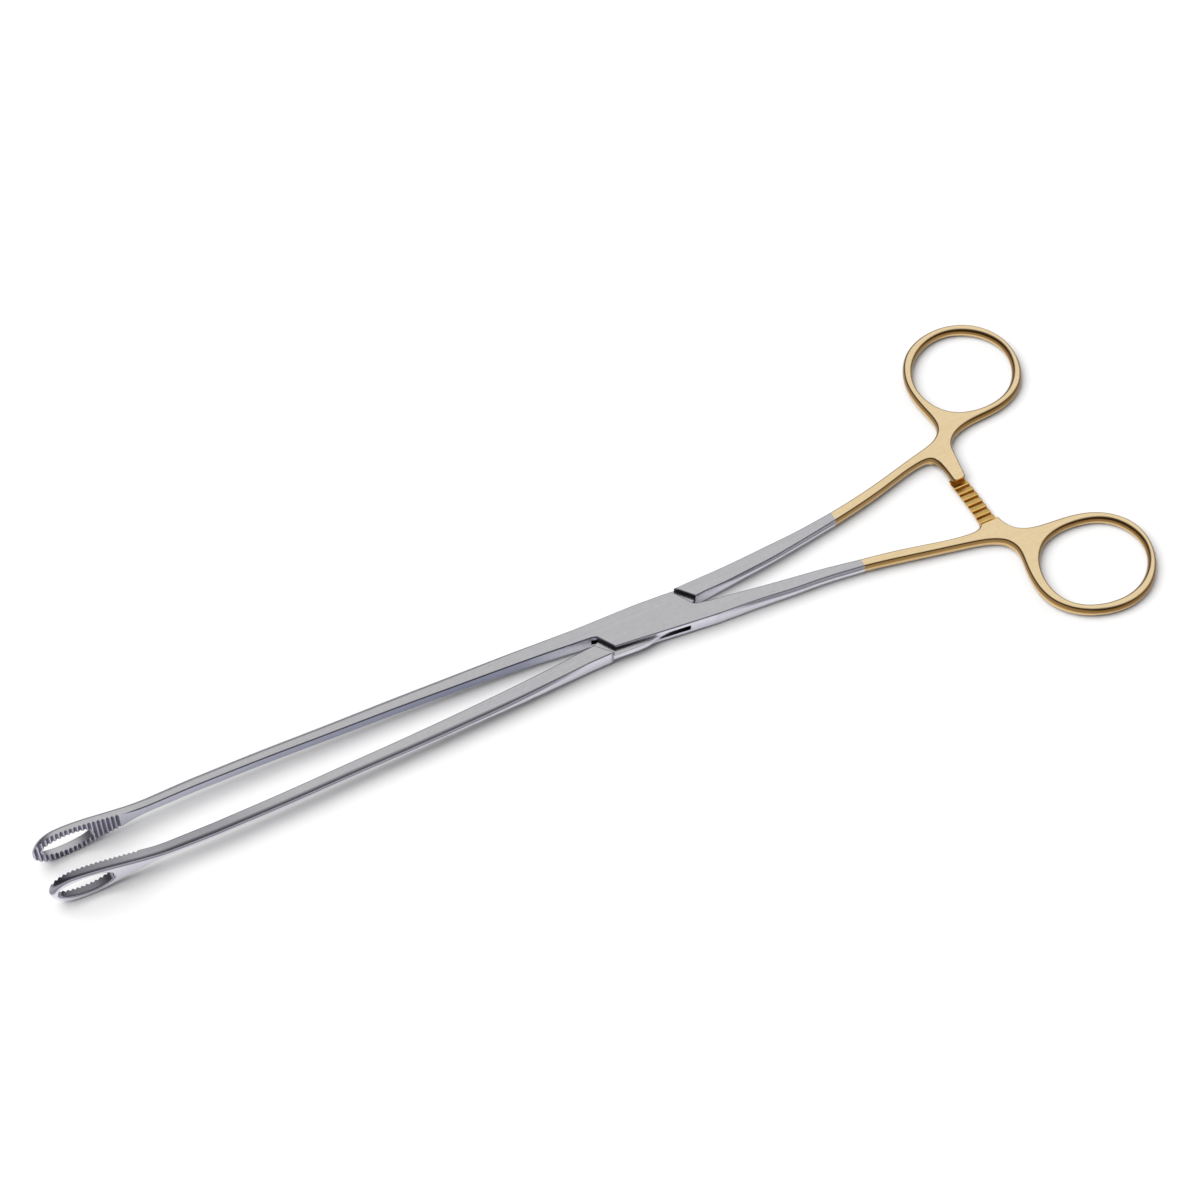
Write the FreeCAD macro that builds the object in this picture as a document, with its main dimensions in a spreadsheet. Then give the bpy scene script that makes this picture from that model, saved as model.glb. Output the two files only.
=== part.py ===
import FreeCAD, Part
import math
import os
import Sketcher

# Box-lock ring forceps, millimetres.
# Frame: origin on the pivot axis at the underside of the box, +X towards the
# finger rings, +Y towards the jaw of the box arm, +Z up.  The arms stand a few
# degrees open.  Box arm: jaw at +Y, rings at -Y.  Tongue arm: jaw at -Y, ring at +Y.

V = FreeCAD.Vector
doc = FreeCAD.newDocument("ring_forceps")

# ---------------------------------------------------------------- dimensions
sheet = doc.addObject("Spreadsheet::Sheet", "Dims")
DIMS = [
    # box lock
    ("box_thick", 3.9), ("mid_z", 1.95), ("slot_height", 1.60), ("tongue_thick", 1.50),
    ("pin_radius", 1.5), ("pin_bore_tongue", 1.55), ("root_x", 14.75),
    # shanks, handles and rings
    ("gilt_x", 48.4), ("handle_thick", 2.7), ("edge_round", 0.45),
    ("neck_x", 82.0), ("neck_y", 15.85), ("neck_angle", 49.0),
    ("handle_end_upper", 9.95), ("handle_end_lower", 9.8),
    # ratchet bars
    ("bar_left_x", 75.95), ("bar_right_x", 80.1),
    ("tooth_pitch", 1.70), ("tooth_flat", 0.25), ("tooth_crest", 0.05), ("tooth_root", 0.50),
    ("upper_tip_y", 3.05), ("lower_tip_y", 4.2), ("lower_first_y", -8.6), ("lower_step_y", -8.9),
    # jaws
    ("jaw_root_x", -99.5), ("jaw_tip_x", -134.7), ("jaw_wide_x", -129.4),
    ("jaw_neck_x", -109.0), ("jaw_half_height", 4.7), ("jaw_neck_half", 1.32),
    ("window_x", -127.35), ("window_half_length", 5.7), ("window_half_height", 2.7),
    ("serration_pitch", 0.97), ("serration_depth", 0.35), ("serration_end_x", -115.8),
    ("jaw_back_round", 0.8), ("window_round", 0.35),
]
# shank sections: distance along X, flat top from inner to outer edge,
# bulge of the inner and the outer side, half thickness
FRONT = [
    (-14.75, 1.15, 4.47, 0.03, 0.05, 1.95),
    (-22.10, 1.80, 4.58, 0.04, 0.50, 1.72),
    (-31.30, 2.41, 4.74, 0.04, 0.92, 1.52),
    (-42.40, 3.00, 4.92, 0.04, 1.18, 1.40),
    (-55.30, 3.58, 5.23, 0.04, 1.22, 1.36),
    (-70.00, 4.06, 5.49, 0.04, 1.20, 1.33),
    (-84.80, 4.54, 5.88, 0.04, 1.15, 1.32),
    (-99.50, 4.75, 6.02, 0.04, 1.10, 1.32),
]
REAR_TONGUE = [
    (14.75, 0.92, 4.52, 0.04, 0.04, 1.95),
    (20.28, 1.27, 4.70, 0.12, 0.12, 1.90),
    (25.80, 1.82, 5.00, 0.22, 0.22, 1.78),
    (31.33, 2.47, 5.39, 0.30, 0.30, 1.55),
    (39.63, 3.78, 6.08, 0.34, 0.34, 1.38),
    (48.40, 5.267, 7.236, 0.35, 0.35, 1.35),
]
REAR_BOX = [
    (14.75, 1.52, 5.44, 0.04, 0.04, 1.95),
    (20.28, 2.30, 5.69, 0.12, 0.12, 1.90),
    (25.80, 3.13, 5.99, 0.22, 0.22, 1.78),
    (31.33, 3.82, 6.40, 0.30, 0.30, 1.55),
    (39.63, 4.79, 6.87, 0.34, 0.34, 1.38),
    (48.40, 6.200, 7.855, 0.35, 0.35, 1.35),
]
ROW = {"x": 0, "inner": 1, "outer": 2, "inner_bulge": 3, "outer_bulge": 4, "half": 5}
for prefix, table in (("front", FRONT), ("rear_tongue", REAR_TONGUE), ("rear_box", REAR_BOX)):
    for k, row in enumerate(table):
        for field, col in ROW.items():
            DIMS.append(("%s_%s_%s" % (prefix, field, "abcdefghij"[k]), row[col]))
VALUES = {}
for k, (alias, value) in enumerate(DIMS):
    cell = "B%d" % (k + 2)
    sheet.set("A%d" % (k + 2), alias)
    sheet.set(cell, repr(float(value)))
    sheet.setAlias(cell, alias)
    VALUES[alias] = float(value)
doc.recompute()


def dim(alias):
    return float(sheet.get(alias))


# ---------------------------------------------------------------- helpers
def body(label):
    b = doc.addObject("PartDesign::Body", label)
    b.Label = label
    return b


def sketch(b, name, role, offset=None):
    s = b.newObject("Sketcher::SketchObject", name)
    plane = [o for o in b.Origin.OriginFeatures if o.Role == role][0]
    s.AttachmentSupport = [(plane, "")]
    s.MapMode = "FlatFace"
    if offset is not None:
        s.setExpression("AttachmentOffset.Base.z", offset)
        doc.recompute()
    return s


def polygon(s, pts):
    """Closed polygon whose every corner is held at its coordinates."""
    n = len(pts)
    ids = []
    for i in range(n):
        a, b = pts[i], pts[(i + 1) % n]
        ids.append(s.addGeometry(Part.LineSegment(V(a[0], a[1], 0), V(b[0], b[1], 0)), False))
    cons = []
    for i in range(n):
        cons.append(Sketcher.Constraint("Coincident", ids[i], 2, ids[(i + 1) % n], 1))
        cons.append(Sketcher.Constraint("DistanceX", -1, 1, ids[i], 1, pts[i][0]))
        cons.append(Sketcher.Constraint("DistanceY", -1, 1, ids[i], 1, pts[i][1]))
    s.addConstraint(cons)
    return ids


def spline(pts, closed=False):
    c = Part.BSplineCurve()
    c.interpolate([V(p[0], p[1], 0) for p in pts], PeriodicFlag=closed)
    return c


def fixed(s, geometry):
    i = s.addGeometry(geometry, False)
    s.addConstraint(Sketcher.Constraint("Block", i))
    return i


def pad(b, s, length, name="Pad", both=False):
    p = b.newObject("PartDesign::Pad", name)
    p.Profile = s
    if both:
        p.SideType = "Symmetric"
    p.setExpression("Length", length)
    doc.recompute()
    return p


def cut_through(b, s, name):
    """Pocket through everything on both sides of its sketch; must remove metal."""
    before = b.Shape.Volume
    p = b.newObject("PartDesign::Pocket", name)
    p.Profile = s
    p.SideType = "Symmetric"
    p.Type = "ThroughAll"
    doc.recompute()
    if not b.Shape.Volume < before - 1e-3:
        raise RuntimeError(name + " cuts nothing")
    return p


def section(b, prefix, k):
    """One cross-section of a shank: flat top and bottom, bowed sides."""
    tag = "abcdefghij"[k]
    val = lambda f: dim("%s_%s_%s" % (prefix, f, tag))
    s = sketch(b, "Section_" + tag, "YZ_Plane", "Dims.%s_x_%s" % (prefix, tag))
    yi, yo, bi, bo, h = val("inner"), val("outer"), val("inner_bulge"), val("outer_bulge"), val("half")
    zm = VALUES["mid_z"]
    fixed(s, Part.LineSegment(V(yi, zm + h, 0), V(yo, zm + h, 0)))
    fixed(s, Part.Arc(V(yo, zm + h, 0), V(yo + bo, zm, 0), V(yo, zm - h, 0)))
    fixed(s, Part.LineSegment(V(yo, zm - h, 0), V(yi, zm - h, 0)))
    fixed(s, Part.Arc(V(yi, zm - h, 0), V(yi - bi, zm, 0), V(yi, zm + h, 0)))
    return s


def shank(label, prefix, count):
    b = body(label)
    parts = [section(b, prefix, k) for k in range(count)]
    doc.recompute()
    loft = b.newObject("PartDesign::AdditiveLoft", "Loft")
    loft.Profile = parts[0]
    loft.Sections = parts[1:]
    loft.Ruled = False
    doc.recompute()
    return b


def mirrored(label, source):
    m = doc.addObject("Part::Mirroring", label)
    m.Label = label
    m.Source = source
    m.Normal = V(0, 1, 0)
    m.Base = V(0, 0, 0)
    doc.recompute()
    return m


def common(label, *objs):
    c = doc.addObject("Part::MultiCommon", label)
    c.Label = label
    c.Shapes = list(objs)
    doc.recompute()
    return c


def cut(label, base, tool):
    c = doc.addObject("Part::Cut", label)
    c.Label = label
    c.Base = base
    c.Tool = tool
    doc.recompute()
    return c


def block(label, size, at, angle=None):
    """Box whose sizes and corner are expressions; it may turn about Z."""
    bx = doc.addObject("Part::Box", label)
    for p, e in zip(("Length", "Width", "Height"), size):
        bx.setExpression(p, e)
    for axis, e in zip("xyz", at):
        bx.setExpression("Placement.Base." + axis, e)
    if angle:
        bx.Placement.Rotation = FreeCAD.Rotation(V(0, 0, 1), 1)
        bx.setExpression("Placement.Rotation.Angle", angle)
    doc.recompute()
    return bx


# ---------------------------------------------------------------- jaws
# A jaw is a leaf-shaped loop standing on edge: its outline and window are cut in
# the XZ view, its slight curve and its serrated face in the XY view.
def leaf_half(x):
    tip, wide = VALUES["jaw_tip_x"], VALUES["jaw_wide_x"]
    big, neck, neck_x = VALUES["jaw_half_height"], VALUES["jaw_neck_half"], VALUES["jaw_neck_x"]
    if x < wide:
        return big * math.sqrt(max(0.0, 1 - ((wide - x) / (wide - tip)) ** 2))
    t = min(1.0, (x - wide) / (neck_x - wide))
    return neck + (big - neck) * (1 - (3 * t * t - 2 * t ** 3))


def leaf(label):
    b = body(label)
    s = sketch(b, "Outline", "XZ_Plane")
    zm, root = VALUES["mid_z"], VALUES["jaw_root_x"]
    wide, tip = VALUES["jaw_wide_x"], VALUES["jaw_tip_x"]
    upper = [(root, zm + VALUES["jaw_neck_half"]), (-103.0, zm + 1.32), (-106.0, zm + 1.32)]
    upper += [(x, zm + leaf_half(x)) for x in (-110.5, -113, -116, -119, -122, -125, -127.5)]
    upper += [(wide - (wide - tip) * math.sin(math.radians(a)),
               zm + VALUES["jaw_half_height"] * math.cos(math.radians(a))) for a in (8, 24, 40, 56, 72)]
    lower = [(x, 2 * zm - z) for x, z in reversed(upper)]
    fixed(s, spline(upper + [(tip, zm)] + lower))
    fixed(s, Part.LineSegment(V(lower[-1][0], lower[-1][1], 0), V(upper[0][0], upper[0][1], 0)))
    a, h = VALUES["window_half_length"], VALUES["window_half_height"]
    e = s.addGeometry(Part.Ellipse(V(VALUES["window_x"] + a, zm, 0), V(VALUES["window_x"], zm + h, 0),
                                   V(VALUES["window_x"], zm, 0)), False)
    s.addConstraint(Sketcher.Constraint("Block", e))
    pad(b, s, "20", both=True)
    return b


BACK = [(-99.5, 7.12), (-104.0, 7.02), (-109.0, 6.86), (-114.0, 6.70), (-119.0, 6.58),
        (-124.0, 6.44), (-128.0, 6.27), (-131.5, 6.02), (-134.0, 5.72), (-135.5, 5.50)]


def face_y(x):
    return 4.60 + (4.40 - 4.60) * (x + 99.5) / (-134.7 + 99.5)


def plan(label, shift):
    """Plan view of the jaw: serrated inner face, gently curved back."""
    b = body(label)
    s = sketch(b, "Plan", "XY_Plane")
    pitch, depth = VALUES["serration_pitch"], VALUES["serration_depth"]
    pts = [(-135.5, face_y(-135.5) + depth)]
    x = VALUES["jaw_tip_x"] + shift
    while x < VALUES["serration_end_x"]:
        pts.append((x, face_y(x)))
        x += pitch / 2
        pts.append((x, face_y(x) + depth))
        x += pitch / 2
    pts.append((x, face_y(x)))
    pts.append((VALUES["jaw_root_x"], 4.72))
    ids = []
    for p, q in zip(pts, pts[1:]):
        ids.append(s.addGeometry(Part.LineSegment(V(p[0], p[1], 0), V(q[0], q[1], 0)), False))
    cons = []
    for i, g in enumerate(ids):
        if i:
            cons.append(Sketcher.Constraint("Coincident", ids[i - 1], 2, g, 1))
        cons.append(Sketcher.Constraint("DistanceX", -1, 1, g, 1, pts[i][0]))
        cons.append(Sketcher.Constraint("DistanceY", -1, 1, g, 1, pts[i][1]))
    cons.append(Sketcher.Constraint("DistanceX", -1, 1, ids[-1], 2, pts[-1][0]))
    cons.append(Sketcher.Constraint("DistanceY", -1, 1, ids[-1], 2, pts[-1][1]))
    s.addConstraint(cons)
    root, tip = BACK[0], BACK[-1]
    fixed(s, Part.LineSegment(V(pts[-1][0], pts[-1][1], 0), V(root[0], root[1], 0)))
    fixed(s, spline(BACK))
    fixed(s, Part.LineSegment(V(tip[0], tip[1], 0), V(pts[0][0], pts[0][1], 0)))
    pad(b, s, "24", both=True)
    return b


def rounded(label, base, chooser):
    """Fillet of the edges that chooser gives a radius for."""
    f = doc.addObject("Part::Fillet", label)
    f.Label = label
    f.Base = base
    edges = []
    for i, e in enumerate(base.Shape.Edges):
        r = chooser(e)
        if r:
            edges.append((i + 1, r, r))
    f.Edges = edges
    doc.recompute()
    return f


def back_edge(e):
    c = e.BoundBox
    if c.XLength < 1.0 or c.YMax < 5.4:
        return None
    p = e.valueAt(0.5 * (e.FirstParameter + e.LastParameter))
    mid = [e.valueAt(e.FirstParameter + t * (e.LastParameter - e.FirstParameter)) for t in (0.2, 0.5, 0.8)]
    back = [abs(q.y - back_y(q.x)) < 0.05 for q in mid]
    if not all(back):
        return None
    inside = all(abs(q.x - VALUES["window_x"]) < VALUES["window_half_length"] + 0.2 and
                 abs(q.z - VALUES["mid_z"]) < VALUES["window_half_height"] + 0.1 for q in mid)
    return dim("window_round") if inside else dim("jaw_back_round")


_back = spline(BACK)


def back_y(x):
    lo, hi = _back.FirstParameter, _back.LastParameter
    for _ in range(50):
        m = 0.5 * (lo + hi)
        if _back.value(m).x > x:
            lo = m
        else:
            hi = m
    return _back.value(lo).y


leaf_body = leaf("jaw_leaf")
box_plan = plan("box_jaw_plan", 0.30)
tongue_plan = plan("tongue_jaw_plan", 0.30 + 0.97 / 2)
box_jaw_square = common("box_jaw_square", leaf_body, box_plan)
tongue_jaw_square = common("tongue_jaw_square", leaf_body, tongue_plan)
box_jaw = rounded("box_arm_jaw", box_jaw_square, back_edge)
tongue_jaw_far = rounded("tongue_jaw_unmirrored", tongue_jaw_square, back_edge)
tongue_jaw = mirrored("tongue_arm_jaw", tongue_jaw_far)

# ---------------------------------------------------------------- shanks
box_front = shank("box_arm_front_shank", "front", len(FRONT))
tongue_front = mirrored("tongue_arm_front_shank", box_front)
tongue_rear = shank("tongue_arm_rear_shank", "rear_tongue", len(REAR_TONGUE))
box_rear_far = shank("box_rear_unmirrored", "rear_box", len(REAR_BOX))
box_rear = mirrored("box_arm_rear_shank", box_rear_far)

# ---------------------------------------------------------------- box and tongue
root = VALUES["root_x"]
BOX = [(-root, 1.15), (-12.0, 0.95), (-10.8, 0.62), (-8.35, -3.15), (-4.2, -3.55), (1.4, -4.15),
       (8.3, -4.84), (root, -5.44), (root, -1.52), (12.0, -1.05), (11.15, -0.50), (8.35, 3.98),
       (4.0, 4.22), (0.0, 4.42), (-7.0, 4.45), (-root, 4.47)]
SLOT = [(-8.7, 6.5), (-11.9, 0.9), (-16.0, -1.0), (-16.0, -8.0), (8.6, -8.0), (8.6, -4.9), (11.7, -0.9),
        (16.0, 1.0), (16.0, 6.5)]
box = body("box_lock_housing")
s = sketch(box, "Plates", "XY_Plane")
polygon(s, BOX)
pad(box, s, "Dims.box_thick")
s = sketch(box, "Slot", "XY_Plane", "Dims.mid_z")
polygon(s, SLOT)
before = box.Shape.Volume
p = box.newObject("PartDesign::Pocket", "SlotPocket")
p.Profile = s
p.SideType = "Symmetric"
p.setExpression("Length", "Dims.slot_height")
doc.recompute()
if not box.Shape.Volume < before - 50:
    raise RuntimeError("slot cuts nothing")
s = sketch(box, "PinBore", "XY_Plane", "Dims.mid_z")
c = s.addGeometry(Part.Circle(V(0, 0, 0), V(0, 0, 1), VALUES["pin_radius"]), False)
s.addConstraint(Sketcher.Constraint("Coincident", c, 3, -1, 1))
i = s.addConstraint(Sketcher.Constraint("Radius", c, VALUES["pin_radius"]))
s.setExpression("Constraints[%d]" % i, "Dims.pin_radius")
cut_through(box, s, "PinBorePocket")

TONGUE_FRONT = [(-root, -1.15), (-12.1, -0.90), (-8.95, -4.18), (-9.6, -4.46), (-root, -4.47)]
TONGUE_REAR = [(root, 0.92), (12.45, 0.69), (9.15, 4.28), (9.8, 4.48), (root, 4.52)]
TONGUE = [(-13.0, -1.0), (-9.6, 0.9), (-2.6, 3.75), (2.4, 4.55), (5.5, 4.75), (9.3, 4.5), (13.0, 1.0),
          (9.6, -0.6), (2.8, -3.75), (-0.4, -4.70), (-3.8, -4.80), (-9.2, -4.5)]
tongue = body("tongue_lock_web")
s = sketch(tongue, "Web", "XY_Plane", "Dims.mid_z")
polygon(s, TONGUE)
pad(tongue, s, "Dims.tongue_thick", "WebPad", both=True)
s = sketch(tongue, "FrontRoot", "XY_Plane")
polygon(s, TONGUE_FRONT)
pad(tongue, s, "Dims.box_thick", "FrontRootPad")
s = sketch(tongue, "RearRoot", "XY_Plane")
polygon(s, TONGUE_REAR)
pad(tongue, s, "Dims.box_thick", "RearRootPad")
s = sketch(tongue, "PinBore", "XY_Plane", "Dims.mid_z")
c = s.addGeometry(Part.Circle(V(0, 0, 0), V(0, 0, 1), VALUES["pin_bore_tongue"]), False)
s.addConstraint(Sketcher.Constraint("Coincident", c, 3, -1, 1))
i = s.addConstraint(Sketcher.Constraint("Radius", c, VALUES["pin_bore_tongue"]))
s.setExpression("Constraints[%d]" % i, "Dims.pin_bore_tongue")
cut_through(tongue, s, "PinBorePocket")

pin = doc.addObject("Part::Cylinder", "pivot_pin")
pin.Label = "pivot_pin"
pin.setExpression("Radius", "Dims.pin_radius")
pin.setExpression("Height", "Dims.box_thick")
doc.recompute()

# ---------------------------------------------------------------- gilt handles
# Outline of handle, ratchet root and ring, taken round from the shank to the
# ratchet bar, and the inner edge of the handle; both in the +Y half.
TONGUE_OUTER = [
    (37.78, 6.28), (41.58, 6.68), (45.24, 7.13), (48.91, 7.66), (52.57, 8.28), (56.20, 8.98),
    (59.66, 9.73), (63.37, 10.64), (67.21, 11.64), (70.95, 12.60), (74.47, 13.46),
    (76.45, 14.04), (77.61, 14.56), (78.53, 15.19), (79.22, 15.84), (79.67, 16.46),
    (79.99, 17.13), (80.18, 17.86), (80.26, 18.78), (80.17, 20.36), (79.72, 23.40),
    (79.46, 25.96), (79.43, 28.20), (79.61, 29.97), (80.01, 31.74), (80.66, 33.48),
    (81.44, 35.00), (82.42, 36.41), (83.46, 37.56), (84.65, 38.55), (85.95, 39.38),
    (87.49, 40.10), (89.27, 40.66), (90.95, 40.96), (92.82, 41.08), (94.69, 40.97),
    (96.52, 40.62), (98.14, 40.11), (99.66, 39.41), (101.07, 38.52), (102.22, 37.55),
    (103.34, 36.33), (104.28, 34.96), (105.04, 33.48), (105.55, 32.04), (105.91, 30.38),
    (106.04, 28.66), (105.95, 26.92), (105.63, 25.19), (105.11, 23.52), (104.45, 22.08),
    (103.54, 20.62), (102.66, 19.56), (101.54, 18.54), (100.17, 17.62), (98.69, 16.89),
    (96.97, 16.29), (95.04, 15.85), (92.62, 15.58), (89.31, 15.38), (86.98, 15.13),
    (85.14, 14.76), (83.79, 14.29), (82.67, 13.72), (81.81, 13.07), (81.27, 12.51),
    (80.77, 11.75), (80.48, 11.00), (80.31, 10.18), (80.25, 9.15), (80.39, 7.92)]
TONGUE_INNER = [
    (39.00, 3.29), (43.03, 3.97), (46.97, 4.65), (50.80, 5.35), (54.62, 6.11), (58.24, 6.90),
    (61.73, 7.76), (65.29, 8.74), (68.55, 9.62), (71.17, 10.15), (73.04, 10.36),
    (73.85, 10.34), (74.32, 10.23), (74.66, 10.07), (74.90, 9.90), (75.11, 9.67),
    (75.34, 9.28), (75.55, 8.71), (75.65, 8.11), (75.63, 7.64)]
TONGUE_HOLE = [
    (81.42, 28.33), (81.56, 25.90), (82.24, 23.55), (83.52, 21.33), (85.18, 19.70),
    (87.24, 18.58), (89.76, 17.91), (92.26, 17.71), (94.75, 17.92), (97.12, 18.57),
    (99.27, 19.69), (101.23, 21.42), (102.67, 23.44), (103.66, 25.71), (104.13, 28.26),
    (103.96, 30.58), (103.18, 32.76), (101.88, 34.74), (100.14, 36.43), (97.93, 37.83),
    (95.63, 38.66), (93.22, 38.97), (90.61, 38.67), (88.27, 37.87), (86.16, 36.65),
    (84.35, 35.03), (82.91, 33.07), (81.86, 30.70)]
BOX_OUTER = [
    (38.17, 7.12), (41.38, 7.32), (44.73, 7.68), (48.23, 8.18), (51.86, 8.81), (55.63, 9.55),
    (59.67, 10.38), (63.69, 11.22), (67.72, 12.05), (71.52, 12.84), (74.27, 13.51),
    (76.21, 14.19), (77.62, 14.91), (78.38, 15.46), (78.91, 16.00), (79.31, 16.62),
    (79.59, 17.30), (79.75, 18.05), (79.80, 19.10), (79.63, 20.47), (79.09, 23.14),
    (78.74, 25.63), (78.64, 27.82), (78.76, 29.66), (79.09, 31.29), (79.58, 32.71),
    (80.27, 34.03), (81.23, 35.37), (82.36, 36.59), (83.77, 37.75), (85.33, 38.75),
    (87.00, 39.56), (88.91, 40.23), (90.88, 40.67), (92.72, 40.85), (94.55, 40.82),
    (96.36, 40.56), (97.96, 40.12), (99.48, 39.47), (100.78, 38.69), (102.09, 37.64),
    (103.27, 36.42), (104.29, 35.05), (105.22, 33.43), (105.93, 31.71), (106.39, 30.06),
    (106.63, 28.39), (106.64, 26.71), (106.45, 25.20), (106.09, 23.87), (105.48, 22.46),
    (104.74, 21.27), (103.74, 20.06), (102.47, 18.88), (101.09, 17.89), (99.50, 17.03),
    (97.69, 16.33), (95.67, 15.80), (93.14, 15.39), (89.93, 15.10), (86.93, 14.82),
    (85.25, 14.54), (83.96, 14.15), (82.92, 13.63), (82.19, 13.10), (81.54, 12.43),
    (80.99, 11.63), (80.61, 10.73), (80.41, 9.90), (80.37, 9.04), (80.46, 8.31)]
BOX_INNER = [
    (37.11, 3.97), (40.76, 4.62), (44.63, 5.25), (48.72, 5.90), (52.49, 6.52), (56.16, 7.18),
    (59.70, 7.92), (63.43, 8.77), (66.95, 9.54), (70.00, 10.07), (72.67, 10.36),
    (73.84, 10.37), (74.44, 10.27), (74.89, 10.10), (75.15, 9.93), (75.44, 9.65),
    (75.65, 9.35), (75.86, 8.88), (76.03, 8.15)]
BOX_HOLE = [
    (86.20, 19.30), (88.43, 18.39), (90.94, 17.96), (93.76, 17.98), (96.33, 18.36),
    (98.67, 19.06), (100.86, 20.27), (102.57, 21.94), (103.86, 24.04), (104.62, 26.39),
    (104.75, 28.80), (104.13, 31.29), (102.96, 33.45), (101.33, 35.32), (99.22, 36.90),
    (97.03, 37.88), (94.67, 38.41), (92.20, 38.49), (89.66, 38.14), (87.00, 37.29),
    (84.82, 36.06), (83.14, 34.42), (81.95, 32.23), (81.41, 29.91), (81.39, 27.47),
    (81.88, 25.05), (82.84, 22.80), (84.36, 20.75)]


def blank(label, outer, inner, hole):
    b = body(label)
    s = sketch(b, "Outline", "XY_Plane", "Dims.mid_z")
    fixed(s, spline(outer))
    fixed(s, Part.LineSegment(V(outer[-1][0], outer[-1][1], 0), V(inner[-1][0], inner[-1][1], 0)))
    fixed(s, spline(inner))
    fixed(s, Part.LineSegment(V(inner[0][0], inner[0][1], 0), V(outer[0][0], outer[0][1], 0)))
    fixed(s, spline(hole, True))
    square = pad(b, s, "Dims.handle_thick", both=True)
    names = []
    for i, e in enumerate(b.Shape.Edges):
        bb = e.BoundBox
        if bb.ZLength < 1e-6 and max(bb.XLength, bb.YLength) > 12:
            names.append("Edge%d" % (i + 1))
    f = b.newObject("PartDesign::Fillet", "EdgeRound")
    f.Base = (square, names)
    f.setExpression("Radius", "Dims.edge_round")
    doc.recompute()
    return b


def handle_nodes(prefix, b, end, mirror):
    ring_zone = block(prefix + "_ring_zone", ("60", "80", "20"),
                      ("Dims.neck_x + 40 * sin(Dims.neck_angle)", "Dims.neck_y - 40 * cos(Dims.neck_angle)", "-10"),
                      "Dims.neck_angle")
    stub_zone = block(prefix + "_stub_zone", ("12", "12", "20"), ("72", "%s - 12" % end, "-10"))
    steel_zone = block(prefix + "_steel_zone", ("30", "20", "20"), ("Dims.gilt_x - 30", "0", "-10"))
    last = "" if not mirror else "_unmirrored"
    ring = common(prefix + "_finger_ring" + last, b, ring_zone)
    h1 = cut(prefix + "_handle_a", b, ring_zone)
    h2 = cut(prefix + "_handle_b", h1, steel_zone)
    h3 = cut(prefix + "_handle" + last, h2, stub_zone)
    if mirror:
        return mirrored(prefix + "_handle", h3), mirrored(prefix + "_finger_ring", ring)
    return h3, ring


tongue_blank = blank("tongue_handle_blank", TONGUE_OUTER, TONGUE_INNER, TONGUE_HOLE)
box_blank = blank("box_handle_blank", BOX_OUTER, BOX_INNER, BOX_HOLE)
tongue_handle, tongue_ring = handle_nodes("tongue_arm", tongue_blank, "Dims.handle_end_upper", False)
box_handle, box_ring = handle_nodes("box_arm", box_blank, "Dims.handle_end_lower", True)


# ---------------------------------------------------------------- ratchet bars
# Each bar is cut from its side view (saw teeth) and its plan view (slight bow).
def bar_plan(label, y0, y1, edge):
    """Plan of a bar: edge(y) gives its two long sides."""
    b = body(label)
    s = sketch(b, "Plan", "XY_Plane", "Dims.mid_z")
    ys = [y0 + (y1 - y0) * k / 4.0 for k in range(5)]
    left = [(edge(y)[0], y) for y in ys]
    right = [(edge(y)[1], y) for y in ys]
    fixed(s, spline(left))
    fixed(s, spline(right))
    for p, q in ((left[0], right[0]), (left[-1], right[-1])):
        fixed(s, Part.LineSegment(V(p[0], p[1], 0), V(q[0], q[1], 0)))
    pad(b, s, "10", both=True)
    return b


def upper_edges(y):
    return (VALUES["bar_left_x"] + 0.12 - 0.012 * max(0.0, y - 6.0) ** 2,
            VALUES["bar_right_x"] - 0.05 - 0.0148 * (9.95 - y) ** 2 if y < 9.95 else VALUES["bar_right_x"] - 0.05)


def lower_edges(y):
    return (VALUES["bar_left_x"] + 0.37 - 0.0035 * (y + 9.0) ** 2,
            VALUES["bar_right_x"] - 0.08 - 0.0052 * (y + 9.0) ** 2)


def bar_side(label, pts):
    b = body(label)
    s = sketch(b, "Side", "YZ_Plane", "Dims.bar_left_x - 4")
    polygon(s, pts)
    pad(b, s, "12")
    return b


zm = VALUES["mid_z"]
half = VALUES["handle_thick"] / 2
pitch, flat = VALUES["tooth_pitch"], VALUES["tooth_flat"]
crest, gullet = VALUES["tooth_crest"], VALUES["tooth_root"]

y0 = VALUES["upper_tip_y"]
y = y0 + 0.25
side = [(y0 + 0.25, zm + half), (y0, zm + half - 0.3), (y0, zm + gullet + 0.1), (y, zm + gullet)]
for k in range(3):
    side += [(y + pitch - flat, zm + crest), (y + pitch, zm + crest)]
    if k < 2:
        side += [(y + pitch, zm + gullet)]
    y += pitch
side += [(VALUES["handle_end_upper"], zm + crest), (VALUES["handle_end_upper"], zm + half)]
upper_bar = common("tongue_arm_ratchet_bar",
                   bar_plan("upper_bar_plan", y0 - 1, VALUES["handle_end_upper"], upper_edges),
                   bar_side("upper_bar_side", side))

y1 = VALUES["lower_tip_y"]
root_y = -VALUES["handle_end_lower"]
side = [(root_y, zm - half), (root_y, zm + half), (root_y + 0.15, zm + half),
        (root_y + 0.75, zm + 0.55), (VALUES["lower_step_y"], zm - gullet), (VALUES["lower_first_y"], zm - gullet)]
y = VALUES["lower_first_y"]
while y + pitch < y1:
    side += [(y, zm - crest), (y + flat, zm - crest), (y + pitch, zm - gullet)]
    y += pitch
side += [(y, zm - crest), (y + flat, zm - crest), (y1, zm - crest - 0.2 * (y1 - y)), (y1, zm - 1.0), (y1 - 0.35, zm - half)]
lower_bar = common("box_arm_ratchet_bar",
                   bar_plan("lower_bar_plan", root_y, y1 + 1, lower_edges),
                   bar_side("lower_bar_side", side))

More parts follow.
